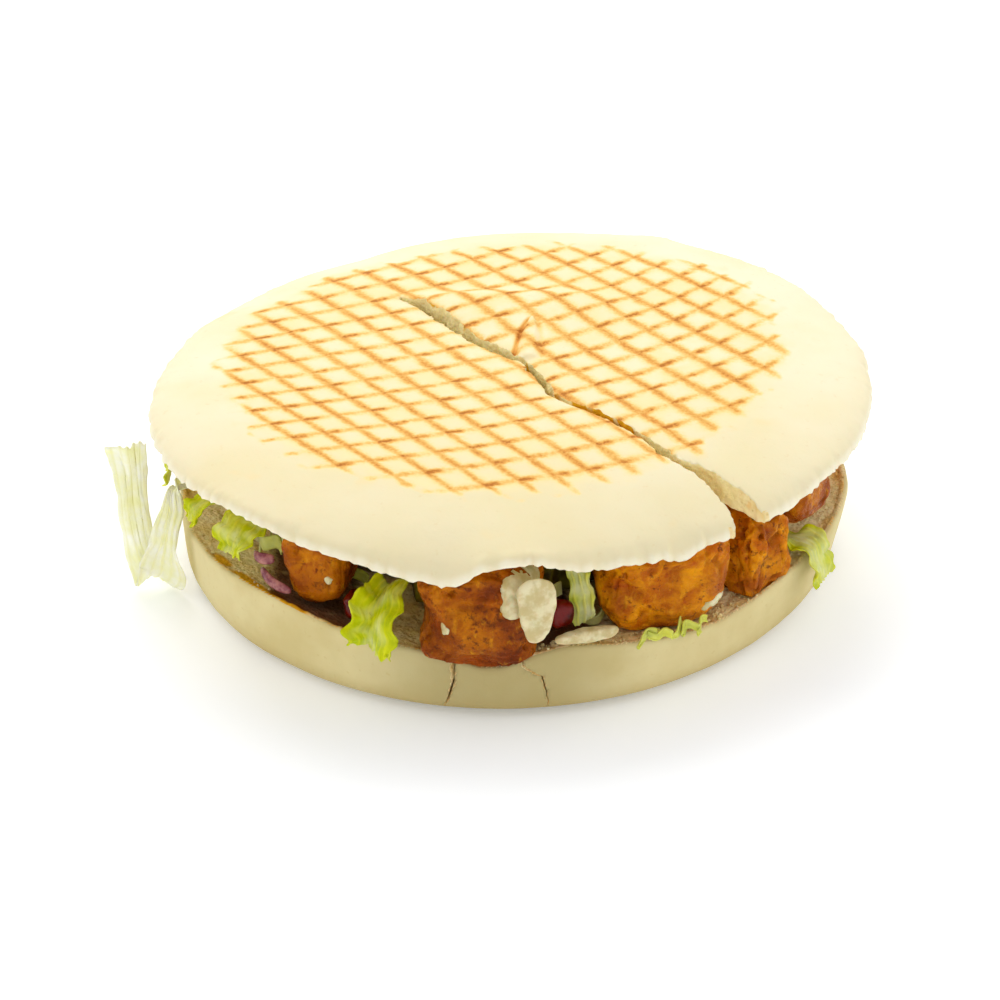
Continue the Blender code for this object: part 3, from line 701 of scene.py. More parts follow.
class Nodes:
    """Short ways to build one material's node tree."""

    def __init__(self, name):
        self.material = bpy.data.materials.new(name)
        self.material.use_nodes = True
        self.tree = self.material.node_tree
        self.surface = self.tree.nodes["Principled BSDF"]

    def add(self, kind, **settings):
        node = self.tree.nodes.new(kind)
        for key, value in settings.items():
            setattr(node, key, value)
        return node

    def feed(self, socket, value):
        if isinstance(value, bpy.types.NodeSocket):
            self.tree.links.new(value, socket)
        else:
            socket.default_value = value

    def layer(self, name):
        return self.add("ShaderNodeAttribute", attribute_name=name).outputs["Fac"]

    def place(self):
        return self.add("ShaderNodeTexCoord").outputs["Object"]

    def math(self, operation, *values):
        node = self.add("ShaderNodeMath", operation=operation)
        for socket, value in zip(node.inputs, values):
            self.feed(socket, value)
        return node.outputs[0]

    def times(self, first, second):
        return self.math("MULTIPLY", first, second)

    def scaled(self, vector, scale):
        node = self.add("ShaderNodeMapping")
        self.feed(node.inputs["Vector"], vector)
        node.inputs["Scale"].default_value = scale
        return node.outputs[0]

    def noise(self, size, detail=3.0, rough=0.55, vector=None, distortion=0.0):
        """Noise of about this size in millimetres, 0 to 1."""
        node = self.add("ShaderNodeTexNoise")
        self.feed(node.inputs["Vector"], vector or self.place())
        node.inputs["Scale"].default_value = 1 / (size * MM)
        node.inputs["Detail"].default_value = detail
        node.inputs["Roughness"].default_value = rough
        node.inputs["Distortion"].default_value = distortion
        return node.outputs["Fac"]

    def cells(self, size):
        node = self.add("ShaderNodeTexVoronoi")
        self.feed(node.inputs["Vector"], self.place())
        node.inputs["Scale"].default_value = 1 / (size * MM)
        return node.outputs["Distance"]

    def step(self, value, low, high, to_low=0.0, to_high=1.0):
        node = self.add("ShaderNodeMapRange", interpolation_type="SMOOTHSTEP")
        self.feed(node.inputs["Value"], value)
        for key, number in (("From Min", low), ("From Max", high), ("To Min", to_low), ("To Max", to_high)):
            node.inputs[key].default_value = number
        return node.outputs["Result"]

    def mix(self, share, first, second):
        node = self.add("ShaderNodeMix", data_type="RGBA")
        self.feed(node.inputs["Factor"], share)
        sockets = [socket for socket in node.inputs if socket.type == "RGBA"]
        for socket, value in zip(sockets, (first, second)):
            self.feed(socket, colour(value) if isinstance(value, tuple) else value)
        return [socket for socket in node.outputs if socket.type == "RGBA"][0]

    def mottled(self, grain, low, high, first, second):
        """Two colours in patches of a noise, given as its size and detail."""
        return self.mix(self.step(self.noise(*grain), low, high), first, second)

    def over(self, base, paint, share, amount):
        """Lays a colour over the base, as strong as the share times the amount."""
        return self.mix(self.times(share, amount), base, paint)

    def hill(self, away, half):
        """One at no distance, falling off smoothly past this half width."""
        ratio = self.math("DIVIDE", away, half)
        return self.math("EXPONENT", self.times(self.times(ratio, ratio), -1.0))

    def bump(self, height, distance, strength=1.0, normal=None):
        node = self.add("ShaderNodeBump")
        self.feed(node.inputs["Height"], height)
        node.inputs["Distance"].default_value = distance * MM
        node.inputs["Strength"].default_value = strength
        if normal:
            self.feed(node.inputs["Normal"], normal)
        return node.outputs["Normal"]

    def finish(self, base, roughness, normal=None, shine=0.1, soft=0.0, depth=0.002):
        """Joins the shader up; soft is how much light goes into the skin, and depth how far in metres."""
        inputs = self.surface.inputs
        self.feed(inputs["Base Color"], base)
        self.feed(inputs["Roughness"], roughness)
        if normal is not None:
            self.feed(inputs["Normal"], normal)
        inputs["Specular IOR Level"].default_value = shine
        inputs["Subsurface Weight"].default_value = soft
        inputs["Subsurface Scale"].default_value = depth
        return self.material


def colour(rgb):
    """Screen colour from 0 to 255 as a linear one."""
    linear = []
    for value in rgb:
        share = value / 255
        linear.append(share / 12.92 if share <= 0.04045 else ((share + 0.055) / 1.055) ** 2.4)
    return (*linear, 1.0)


def crust_material():
    """Pale smooth crust with crossed grill marks: soft long lines one way, short dashes the other, and
    painted shade on its front.
    """
    n = Nodes("crust")
    wobble = n.math("MULTIPLY_ADD", n.noise(6.0, 2.0), 0.14, -0.07)
    smooth_phase = n.math("ADD", n.layer("lines_smooth"), wobble)
    dashed_phase = n.math("ADD", n.layer("lines_dashed"), wobble)

    def away(phase, pitch):
        return n.times(n.math("ABSOLUTE", n.math("SUBTRACT", n.math("FRACT", phase), 0.5)), pitch)

    smooth_away = away(smooth_phase, MARK_LINES["smooth"][1])
    dashed_away = away(dashed_phase, MARK_LINES["dashed"][1])
    smooth_half = n.math("MULTIPLY_ADD", n.noise(9.0, 2.0), 1.6, 0.5)
    smooth_strength = n.step(n.noise(12.0, 2.0), 0.32, 0.66, 0.55, 1.0)
    dashed_half = n.math("MULTIPLY_ADD", n.noise(6.0, 2.0), 1.3, 0.45)
    beside = away(n.math("SUBTRACT", smooth_phase, 0.2), 1.0)
    dash = n.step(beside, 0.14, 0.34, 1.0, 0.3)
    dashed_strength = n.times(dash, n.step(n.noise(7.5, 2.0), 0.34, 0.62, 0.5, 1.25))
    lines = n.times(n.hill(smooth_away, smooth_half), smooth_strength)
    dashes = n.times(n.hill(dashed_away, dashed_half), dashed_strength)
    heat = n.math("MULTIPLY_ADD", n.layer("heat"), 0.46, 0.26)
    halo = n.times(n.math("MAXIMUM", n.hill(smooth_away, 3.4), n.hill(dashed_away, 2.8)), heat)
    strongest = n.math("MAXIMUM", n.times(lines, 0.66), n.times(dashes, 0.8))
    both = n.math("ADD", n.math("MULTIPLY_ADD", n.times(lines, dashes), 0.2, strongest), halo)
    ragged = n.math("ADD", n.layer("mark_disc"), n.math("MULTIPLY_ADD", n.noise(10.0, 2.0), 17.0, -8.5))
    inside = n.step(ragged, -5.0, 4.0, 1.0, 0.0)
    speckle = n.math("MULTIPLY_ADD", n.noise(1.0, 3.0), 1.5, 0.25)
    mark = n.times(n.times(both, inside), speckle)
    base = n.mottled((38.0, 3.0), 0.3, 0.75, CRUST_CREAM, CRUST_STRAW)
    # Painted shade: the crust darkens towards the front
    base = n.over(base, CRUST_FRONT_SHADE, n.layer("front"), 0.5)
    blotch = n.step(n.noise(15.0, 2.0), 0.64, 0.8)
    base = n.over(base, CRUST_BLOTCH, blotch, 0.35)
    base = n.over(base, LIP_FLOUR, n.layer("lip"), 0.7)
    flecks = n.step(n.noise(2.0, 2.0), 0.62, 0.8)
    base = n.over(base, CRUST_FLECK, flecks, 0.22)
    scorched = n.step(n.noise(11.0, 3.0), 0.42, 0.7, 0.35, 1.0)
    base = n.mix(n.times(inside, scorched), base, DISC_WARM)
    base = n.mix(n.times(inside, n.times(n.layer("heat"), 0.7)), base, DISC_HOT)
    mark = n.math("ADD", mark, n.times(n.layer("groove"), 0.55))
    tan = n.mix(n.step(mark, 0.05, 0.3), base, MARK_TAN)
    gold = n.mix(n.step(mark, 0.24, 0.55), tan, MARK_GOLD)
    brown = n.mix(n.step(mark, 0.5, 0.9), gold, MARK_BROWN)
    dark = n.mix(n.step(mark, 0.85, 1.3), brown, MARK_DARK)
    normal = n.bump(n.noise(4.5, 3.0), 0.45, 0.35)
    normal = n.bump(n.noise(0.8, 3.0), 0.14, 0.4, normal)
    normal = n.bump(n.times(mark, -1.0), 0.3, 0.6, normal)
    rough = n.step(mark, 0.0, 1.0, 0.8, 0.65)
    return n.finish(dark, rough, normal, shine=0.12, soft=0.06, depth=0.002)


def wall_material():
    """The lower bread's pale untoasted side crust, with painted shade on its front middle and towards its
    base.
    """
    n = Nodes("wall_crust")
    base = n.mottled((26.0, 4.0), 0.3, 0.7, WALL_PALE, WALL_STRAW)
    # Painted shade on the front middle of the wall
    base = n.over(base, WALL_FRONT_SHADE, n.layer("front"), 0.6)
    # Painted shade darkening the wall towards its base
    base = n.over(base, WALL_LOW_SHADE, n.layer("low"), 0.5)
    flecks = n.step(n.noise(1.6, 2.0), 0.62, 0.8)
    base = n.over(base, WALL_FLECK, flecks, 0.25)
    normal = n.bump(n.noise(6.0, 4.0), 0.5, 0.35)
    normal = n.bump(n.noise(0.9, 3.0), 0.14, 0.4, normal)
    return n.finish(base, 0.85, normal, shine=0.12, soft=0.06, depth=0.002)


def crumb_material():
    """Torn soft crumb with small holes darkened by painted shade, a spicy smear where the sauce layer says,
    and dark red that is partly juice and partly painted shade.
    """
    n = Nodes("crumb")
    holes = n.cells(1.8)
    small = n.cells(0.8)
    base = n.mottled((9.0, 3.0), 0.3, 0.7, CRUMB_PALE, CRUMB_GOLD)
    # Painted shade darkens the crumb in its holes
    base = n.mix(n.step(holes, 0.34, 0.0), base, CRUMB_HOLE_SHADE)
    base = n.over(base, CUT_PALE, n.layer("cut"), 0.75)
    base = n.mix(n.step(n.layer("sauce"), 0.1, 0.7), base, SPICED_OIL)
    # Partly juice and partly painted shade, dark between the pieces and in the cracks
    base = n.over(base, JUICE_AND_SHADE_RED, n.layer("juice_and_shade"), 0.9)
    height = n.math("ADD", holes, n.times(small, 0.5))
    normal = n.bump(height, 0.7, 0.7)
    normal = n.bump(n.noise(0.6, 3.0), 0.16, 0.4, normal)
    return n.finish(base, 0.9, normal, shine=0.05, soft=0.1, depth=0.003)


def meat_material():
    """Spiced grilled chicken: orange and rust with golden, charred and torn places, and painted shade in its
    pits.
    """
    n = Nodes("chicken")
    place = n.place()
    golden = n.layer("golden")
    char = n.layer("char")
    tone = n.noise(6.5, 4.0, 0.6, distortion=0.5)
    rust = n.mix(n.step(tone, 0.35, 0.65), RUST_DARK, RUST_LIGHT)
    gold = n.mix(n.step(tone, 0.35, 0.68), GOLD_DEEP, GOLD_BRIGHT)
    base = n.mix(golden, rust, gold)
    pale = n.step(n.noise(2.6, 3.0, 0.6, n.scaled(place, (1, 1, 0.5))), 0.58, 0.74)
    base = n.over(base, MEAT_PALE, pale, 0.4)
    red = n.step(n.noise(4.4, 3.0), 0.58, 0.7)
    base = n.over(base, MEAT_RED, red, 0.5)
    burnt = n.math("MULTIPLY_ADD", char, 0.17, n.noise(2.2, 4.0, 0.7))
    base = n.over(base, MEAT_BURNT, n.step(burnt, 0.6, 0.74), 0.75)
    # Painted shade in the pits
    base = n.over(base, MEAT_PIT_SHADE, n.layer("pit"), 0.35)
    normal = n.bump(n.noise(1.5, 5.0, 0.65), 0.7, 0.8)
    normal = n.bump(n.noise(0.45, 2.0), 0.14, 0.5, normal)
    rough = n.step(n.noise(2.0, 3.0), 0.35, 0.65, 0.22, 0.55)
    return n.finish(base, rough, normal, shine=0.1, soft=0.1, depth=0.0015)


def lettuce_material():
    """Crisp leaf: the bright layer turns it from near white to full green, and ribs stay pale."""
    n = Nodes("lettuce")
    tint = n.layer("tint")
    pale = n.mottled((6.0, 3.0), 0.3, 0.7, LEAF_WHITE, LEAF_CREAM)
    green = n.mottled((5.0, 3.0), 0.3, 0.7, LEAF_LIME, LEAF_GREEN)
    base = n.mix(tint, pale, green)
    rib = n.mix(tint, RIB_PALE, RIB_GREEN)
    base = n.mix(n.times(n.layer("rib"), 0.6), base, rib)
    height = n.math("ADD", n.times(n.layer("rib"), 0.8), n.noise(1.6, 3.0))
    normal = n.bump(height, 0.4, 0.5)
    material = n.finish(base, 0.4, normal, shine=0.1, soft=0.35, depth=0.003)
    n.surface.inputs["Subsurface Radius"].default_value = (0.9, 1.0, 0.3)
    return material


def sauce_material():
    """White sauce with a few spice specks."""
    n = Nodes("white_sauce")
    base = n.mottled((4.0, 3.0), 0.35, 0.62, SAUCE_LIGHT, SAUCE_SHADE)
    specks = n.step(n.noise(1.1, 2.0), 0.68, 0.8)
    base = n.over(base, SAUCE_SPECK, specks, 0.5)
    normal = n.bump(n.noise(2.6, 3.0), 0.35, 0.4)
    return n.finish(base, 0.28, normal, shine=0.35, soft=0.25, depth=0.002)


def wet_material(name, light, dark, size, roughness=0.25):
    """Moist flesh in two tones, in patches of about this size."""
    n = Nodes(name)
    base = n.mottled((size, 3.0), 0.35, 0.65, light, dark)
    normal = n.bump(n.noise(size / 2, 3.0), 0.4, 0.4)
    return n.finish(base, roughness, normal, shine=0.25, soft=0.15, depth=0.002)


CRUST = crust_material()
WALL = wall_material()
CRUMB = crumb_material()
CHICKEN = meat_material()
LETTUCE = lettuce_material()
SAUCE = sauce_material()
TOMATO = wet_material("tomato_flesh", TOMATO_LIGHT, TOMATO_DARK, 5.0)
ONION = wet_material("onion_flesh", ONION_LIGHT, ONION_DARK, 3.0)
SALAD = wet_material("salad_heap", SALAD_LIGHT, SALAD_DARK, 7.0, 0.45)


def crack_cutter(name, knots, seed):
    """A jagged wedge through the lower bread's wall along the knots: azimuth, height, half width."""
    knots = np.array(knots)
    rng = np.random.default_rng(seed)
    places = np.linspace(0, len(knots) - 1, CRACK_STEPS)
    rings = []
    for number, place in enumerate(places):
        i = min(int(place), len(knots) - 2)
        azimuth, height, half = knots[i] + (place - i) * (knots[i + 1] - knots[i])
        azimuth = azimuth + rng.uniform(-CRACK_SHAKE, CRACK_SHAKE) * (number > 0)
        half = half * rng.uniform(*CRACK_NARROWING)
        outward, round_way = ways_at(azimuth)
        face = float(wall_radius(math.radians(azimuth), height)) * outward + np.array([0, 0, height])
        left = face + 3 * outward - half * 1.2 * round_way
        right = face + 3 * outward + half * 1.2 * round_way
        rings.append(np.array([left, right, face - CRACK_DEPTH * outward]))
    top = rings[0].mean(0) + [0, 0, 1]
    bottom = rings[-1].mean(0) - [0, 0, 0.8]
    return piece(name, *skin(rings, top, bottom), CRUMB)


def lower_bread():
    """The lower half: a rounded wall, a frayed rim and a cratered cut face, with two cracks in front."""
    angles = round_angles(LOWER_COUNT)
    circle = ring_at(angles, LOWER_NOISE_RADIUS, 0 * angles)
    rim = rim_height(angles)
    rings = []

    def wall_ring(share, height):
        height = height + 0 * angles
        points = np.stack([circle[:, 0], circle[:, 1], height], 1)
        swell = 0.3 * noise(points, 22.0, 3) + 0.12 * noise(points, 7.0, 4)
        out = (wall_radius(angles, height) - 0.45) * share + swell * smoothstep(0, 3, height)
        rings.append(ring_at(angles, out, height))

    wall_ring(0.5, 0.0)
    wall_ring(0.85, 0.0)
    for turn in np.linspace(0, 1, 9):
        share = 0.925 + 0.078 * math.sin(turn * math.pi / 2)
        wall_ring(share, WALL_ROUND * (1 - math.cos(turn * math.pi / 2)))
    for part in np.linspace(0, 1, 8)[1:]:
        wall_ring(1.003 + 0.002 * math.sin(part * math.pi), WALL_ROUND + (rim - 1.3 - WALL_ROUND) * part)
    fray = 0.3 * noise(circle, 3.0, 5) + 0.2 * noise(circle, 1.4, 7)
    for share, drop, amount in RIM_RINGS:
        wall_ring(share, rim - drop + amount * fray)
    full = wall_radius(angles, rim)
    for share in np.concatenate(CRUMB_SHARES):
        x = full * share * np.cos(angles)
        y = full * share * np.sin(angles)
        flat = np.stack([x, y, 0 * x], 1)
        holes = np.maximum(noise(flat, 3.2, 8) - 0.15, 0) * 1.5
        height = crumb_height(x, y) + 0.3 * noise(flat, 6.0, 6) + 0.15 * noise(flat, 1.6, 10) - holes - 0.1
        rings.append(np.stack([x, y, height], 1))
    made = piece("lower_bread", *skin(rings, [0, 0, 0], [0, 0, CRUMB_HEIGHT]), WALL)
    made.data.materials.append(CRUMB)
    cut_out(made, [crack_cutter("crack_a", CRACK_LEFT, 2), crack_cutter("crack_b", CRACK_RIGHT, 3)])
    paint_crumb(made)
    settle(made, "bread_bottom")
    return made


def paint_crumb(made):
    """Gives the faces inside the rim the crumb, and sets the layers that the shaders read, painted shade
    among them.
    """
    points = mesh_points(made)
    out, azimuth = polar(points[:, 0], points[:, 1])
    edge = wall_radius(azimuth, points[:, 2])
    centres = face_values(made, "center", 3) / MM
    slots = face_values(made, "material_index", 1)
    face_out, face_azimuth = polar(centres[:, 0], centres[:, 1])
    inside = (face_out < wall_radius(face_azimuth, centres[:, 2]) * INSIDE_RIM) & (centres[:, 2] > 12)
    slots[inside] = 1
    made.data.polygons.foreach_set("material_index", slots)
    # Painted shade: the wall darkens towards the base, where it meets the floor
    number_layer(made, "low", smoothstep(9, 1, points[:, 2]))
    # Painted shade: the front middle of the lower bread, under the lid's overhang
    number_layer(made, "front", smoothstep(48, 12, np.abs(points[:, 0])) * smoothstep(0, -50, points[:, 1]))
    near_rim = smoothstep(0.93, 0.965, out / edge)
    azimuth = np.degrees(azimuth)
    left = smoothstep(-158, -148, azimuth) * smoothstep(-122, -130, azimuth)
    patch = smoothstep(-0.1, 0.35, noise(points, 9.0, 9))
    broken = smoothstep(-0.35, 0.25, noise(points, 7.0, 11))
    number_layer(made, "sauce", near_rim * np.clip(left * broken + 0.35 * patch, 0, 1))
    number_layer(made, "cut", np.zeros(len(points)))
    # Dark red between the pieces in front is partly juice and partly painted shade
    soak_and_shade = window(points[:, 0], *JUICE_AND_SHADE_SPAN) * smoothstep(-20, -26, points[:, 1])
    soak_and_shade = soak_and_shade * smoothstep(0.985, 0.965, out / edge)
    between = window(azimuth, *JUICE_AND_SHADE_AZIMUTHS) * smoothstep(0.96, 0.93, out / edge)
    damp_and_shade = np.maximum(soak_and_shade, between) * smoothstep(-1.0, -0.5, noise(points, 5.0, 12))
    sunk = points[:, 2] - crumb_height(points[:, 0], points[:, 1])
    # Painted shade inside the cracks
    split = smoothstep(0.995, 0.965, out / edge) * smoothstep(-0.6, -1.6, sunk)
    number_layer(made, "juice_and_shade", np.maximum(damp_and_shade, 0.55 * split * (out / edge > 0.85) * (points[:, 2] > 1.5)))


def blade():
    """The dense, rough upright shape that the cut takes out of the upper bread."""
    knots = np.array(CUT_PATH)
    lengths = np.concatenate([[0], np.cumsum(np.linalg.norm(np.diff(knots[:, :2], axis=0), axis=1))])
    places = np.linspace(0, lengths[-1], BLADE_PLACES)
    line = np.stack([np.interp(places, lengths, knots[:, k]) for k in range(3)], 1)
    ways = np.gradient(line[:, :2], axis=0)
    ways = ways / np.linalg.norm(ways, axis=1)[:, None]
    across = np.stack([-ways[:, 1], ways[:, 0]], 1)
    levels = np.linspace(CUT_LOW, CUT_HIGH, BLADE_LEVELS)
    rings = []
    for level in levels:
        sides = []
        for side in (-1, 1):
            flat = np.column_stack([line[:, :2], np.full(len(line), level)])
            jag = 0.7 * noise(flat * [1, 1, 0.15], 5.0, 20 + side)
            jag = jag + 0.45 * noise(flat * [1, 1, 0.4], 1.6, 24 + side)
            pocket = 0.7 * np.maximum(noise(flat, 3.0, 28 + side), 0)
            half = np.maximum(line[:, 2] + (jag + pocket) * np.minimum(line[:, 2], 1.2), 0.12)
            sides.append(flat + np.column_stack([side * across * half[:, None], np.zeros(len(line))]))
        rings.append(np.concatenate([sides[0], sides[1][::-1]]))
    middle = len(rings[0]) // 2
    count = len(rings[0])
    faces = bands(0, len(rings), count)
    k = np.arange(middle - 1)
    back = count - 1 - k
    last = (len(levels) - 1) * count
    faces.append(corners(k, back, back - 1))
    faces.append(corners(k, back - 1, k + 1))
    faces.append(corners(last + k, last + k + 1, last + back - 1))
    faces.append(corners(last + k, last + back - 1, last + back))
    return piece("blade", np.concatenate(rings), np.concatenate(faces), CRUMB)


def mark_phase(x, y, lines):
    """Counts the lines of one family across the crust; a line lies at each half number."""
    turn, pitch, offset, bends = lines
    turn = math.radians(turn)
    u = (x * math.cos(turn) + y * math.sin(turn)) / 100
    v = (-x * math.sin(turn) + y * math.cos(turn)) / 100
    fan, bow, stretch, twist, sweep, swell, pinch = bends
    across = v + fan * u * v + bow * u**2 + stretch * v**2 + twist * u**2 * v
    across = across + sweep * u**3 + swell * v**3 + pinch * u * v**2
    return across * 100 / pitch + offset + 0.5


def flap(x, y):
    """Rise and surrounding groove of the small blistered flap behind the cut."""
    along = (y - FLAP_FROM[1]) / (FLAP_TO[1] - FLAP_FROM[1])
    inside = np.clip(along, 0, 1)
    middle = FLAP_FROM[0] + (FLAP_TO[0] - FLAP_FROM[0]) * inside
    half = FLAP_HALF_WIDTH * np.sqrt(np.maximum(1 - inside**1.6, 0.02))
    across = np.abs(x - middle) / half
    ends = smoothstep(-0.04, 0.06, along) * smoothstep(1.04, 0.96, along)
    rise = FLAP_RISE * smoothstep(1.0, 0.35, across)
    from_groove = (across - 1.1) * half
    left = x < middle
    groove = FLAP_GROOVE * np.exp(-((from_groove / 0.6) ** 2)) * (0.5 + 0.5 * left)
    return ends * (rise - groove), ends * np.exp(-((from_groove / 0.8) ** 2)) * (0.35 + 0.65 * left)


def upper_bread():
    """The domed upper half with its thin ragged lip, cut part of the way across."""
    angles = round_angles(UPPER_COUNT)
    circle = ring_at(angles, UPPER_NOISE_RADIUS, 0 * angles)
    bite = 0.7 * np.abs(noise(circle, 4.5, 41)) + 0.8 * np.maximum(noise(circle, 1.6, 42), -0.1) + 0.25
    bite = bite + 0.9 * np.abs(noise(circle, 1.1, 50))
    drop = 0.45 * noise(circle, 6.0, 43) + 0.4 * noise(circle, 1.8, 44) + 0.6 * noise(circle, 1.1, 51)
    full = lip_radius(angles)
    rings = []

    def ring(share, height_of, lift=0.0):
        edge = smoothstep(RAGGED_FROM, 1.0, share)
        x = TOP_CENTRE[0] + full * share * np.cos(angles)
        y = TOP_CENTRE[1] + full * share * np.sin(angles)
        flat = np.stack([x, y, 0 * x], 1)
        height = height_of(x, y) + lift + edge * drop
        if height_of is crown_height:
            away, width = cut_distance(x, y)
            beside = np.abs(away) - width
            change = flap(x, y)[0] - 0.7 * np.exp(-np.maximum(beside, 0) / 1.3) - 0.2
            change = change + 0.28 * noise(flat, 19.0, 45) + 0.12 * noise(flat, 7.0, 46)
            height = height + change * (1 - smoothstep(RAGGED_FROM, 0.99, share))
        else:
            rough = 1 - smoothstep(0.9, 0.99, share)
            pores = np.maximum(noise(flat, 2.8, 48) - 0.1, 0)
            height = height + rough * (0.2 + 0.5 * noise(flat, 5.0, 47) + 1.2 * pores)
        out = full * share - bite * edge
        x = TOP_CENTRE[0] + out * np.cos(angles)
        y = TOP_CENTRE[1] + out * np.sin(angles)
        rings.append(np.stack([x, y, height], 1))

    for share in np.concatenate(CROWN_SHARES):
        ring(share, crown_height)
    for share, lift in LIP_RINGS:
        ring(share, lid_under, lift)
    for share in np.concatenate(UNDER_SHARES):
        ring(share, lid_under)
    middle = np.array([TOP_CENTRE[0]]), np.array([TOP_CENTRE[1]])
    top = [*TOP_CENTRE, float(rings[0][:, 2].mean())]
    under = [*TOP_CENTRE, float(lid_under(*middle)[0]) + 0.2]
    made = piece("upper_bread", *skin(rings[::-1], under, top), CRUST)
    made.data.materials.append(CRUMB)
    cut_out(made, [blade()])
    paint_crust(made)
    settle(made, "bread_top")
    return made


def paint_crust(made):
    """Sets the layers that the crust's shader reads, and gives the cut and the underside the crumb."""
    points = mesh_points(made)
    x, y = points[:, 0], points[:, 1]
    for family, lines in MARK_LINES.items():
        number_layer(made, "lines_" + family, mark_phase(x, y, lines))
    out, azimuth = polar(x, y, MARK_CENTRE)
    number_layer(made, "mark_disc", out - MARK_RADIUS - waves(azimuth, MARK_EDGE))
    number_layer(made, "groove", flap(x, y)[1])
    number_layer(made, "heat", smoothstep(0, 75, x))
    # Painted shade: how far towards the front the crust is darkened
    number_layer(made, "front", smoothstep(10, -95, y))
    number_layer(made, "lip", smoothstep(0.985, 0.998, lid_floor(x, y)[1]))
    beside = smoothstep(6, 3, np.abs(cut_distance(x, y)[0])) * smoothstep(0.97, 0.93, lid_floor(x, y)[1])
    stain = smoothstep(-0.1, 0.3, noise(points, 5.0, 49)) * window(x, *STAIN_SPAN)
    spots = smoothstep(0.3, 0.6, noise(points, 6.0, 52))
    number_layer(made, "sauce", 0.8 * beside * np.maximum(stain, spots))
    number_layer(made, "cut", beside)
    number_layer(made, "juice_and_shade", np.zeros(len(points)))
    centres = face_values(made, "center", 3) / MM
    normals = face_values(made, "normal", 3)
    slots = face_values(made, "material_index", 1)
    floor, share = lid_floor(centres[:, 0], centres[:, 1])
    crown = CROWN * np.sqrt(np.maximum(1 - share**CROWN_POWER, 0))
    slots[(centres[:, 2] < floor + 0.5 * crown) & (normals[:, 2] < 0.2) & (share < 0.972)] = 1
    away, width = cut_distance(centres[:, 0], centres[:, 1])
    steep = np.abs(normals[:, 2]) < 0.6
    slots[(np.abs(away) < width + 2.5) & steep & (centres[:, 2] < floor + crown - 0.6)] = 1
    made.data.polygons.foreach_set("material_index", slots)


def cube_ball(cells):
    """Points on a unit ball laid out as the grid of a cube, and the triangles between them."""
    ticks = np.arange(cells + 1)
    a, b = np.meshgrid(ticks, ticks, indexing="ij")
    points = []
    faces = []
    for axis in range(3):
        for side in (0, cells):
            place = np.empty((a.size, 3), int)
            place[:, axis] = side
            place[:, (axis + 1) % 3] = a.ravel()
            place[:, (axis + 2) % 3] = b.ravel()
            start = sum(len(p) for p in points)
            i, j = np.meshgrid(np.arange(cells), np.arange(cells), indexing="ij")
            first = start + (i * (cells + 1) + j).ravel()
            square = corners(first, first + cells + 1, first + cells + 2, first + 1)
            if side == 0:
                square = square[:, ::-1]
            points.append(place)
            faces.append(square)
    places, index = np.unique(np.concatenate(points), axis=0, return_inverse=True)
    squares = index.reshape(-1)[np.concatenate(faces)]
    triangles = np.concatenate([squares[:, [0, 1, 2]], squares[:, [0, 2, 3]]])
    flat = places / cells * 2 - 1
    bent = np.tan(flat * EVEN_CELLS) / math.tan(EVEN_CELLS)
    return bent / np.linalg.norm(bent, axis=1)[:, None], triangles


def turned(points, azimuth, turn):
    """Points whose axes are round, outwards and up, turned to an azimuth and a further angle."""
    outward, round_way = ways_at(azimuth + turn)
    up = np.array([0, 0, 1.0])
    return points[:, :1] * round_way + points[:, 1:2] * outward + points[:, 2:] * up


def between_breads(points, gap=GAP):
    """Keeps points a gap clear of both cut faces."""
    points = points.copy()
    low = crumb_height(points[:, 0], points[:, 1]) + gap
    high = lid_under(points[:, 0], points[:, 1]) - gap
    points[:, 2] = np.clip(points[:, 2], low, high)
    return points


def lump_shape(sides, squareness, bump, seed, cells):
    """The rounded block that the solid has, with a finer grid: points, outward ways, triangles."""
    ball, faces = cube_ball(cells)
    boxy = np.sign(ball) * np.abs(ball) ** squareness
    boxy = boxy / np.maximum(np.linalg.norm(boxy, axis=1, ord=4)[:, None], 1e-6)
    local = boxy * np.array(sides) / 2
    local = local + ball * bump * ripple(local, 15.0, seed)[:, None]
    return local, ball, faces


def chicken(name, values, seed, cells):
    """A cut cube of chicken whose skin has lumps, fibres, ridges and small pits."""
    azimuth, out, height, width, depth, tall, turn = values
    sides = (width, depth, tall)
    local, ball, faces = lump_shape(sides, MEAT_SQUARENESS - 0.07, MEAT_LUMP * 0.6, seed + 20, cells)
    low = np.clip(0.5 - local[:, 2:] / tall, 0, 1)
    local[:, :2] = local[:, :2] * (1.02 - 0.12 * low**2)
    torn, golden, char = MEAT_LOOK.get(name, MEAT_LOOK_ELSEWHERE)
    grain = local * np.array([0.3, 1.0, 1.0]) if torn < 0.5 else local * np.array([1.0, 1.0, 0.45])
    lumps = layered(local, 10.0, seed + 2, 3)
    fibres = noise(grain, 1.7, seed + 1)
    ridge = 1 - 2 * np.abs(noise(grain, 4.0, seed + 5))
    pits = smoothstep(0.28, 0.62, noise(local, 3.0, seed + 3) + 0.12 * torn)
    small = noise(grain, 1.2, seed + 4)
    raise_by = 0.4 * lumps + (0.2 + 0.4 * torn) * fibres + (0.1 + 0.9 * torn) * ridge
    raise_by = raise_by - (0.35 + 1.1 * torn) * pits + 0.25 * small - 0.4
    local = local + ball * raise_by[:, None]
    points = place_at(azimuth, out, height) + turned(local, azimuth, turn)
    made = piece(name + "_fine", between_breads(points), faces, CHICKEN, name, "meat")
    high = smoothstep(-tall / 2, tall / 2, local[:, 2])
    golden = golden - 0.15 + 0.3 * high + 0.4 * noise(local, 9.0, seed + 6) + 0.25 * ridge * torn
    number_layer(made, "golden", np.clip(golden, 0, 1))
    number_layer(made, "char", np.clip(char + 0.6 * noise(local, 7.0, seed + 7), 0, 1))
    # The pits' depth also sets how much painted shade they get
    number_layer(made, "pit", pits)
    return made


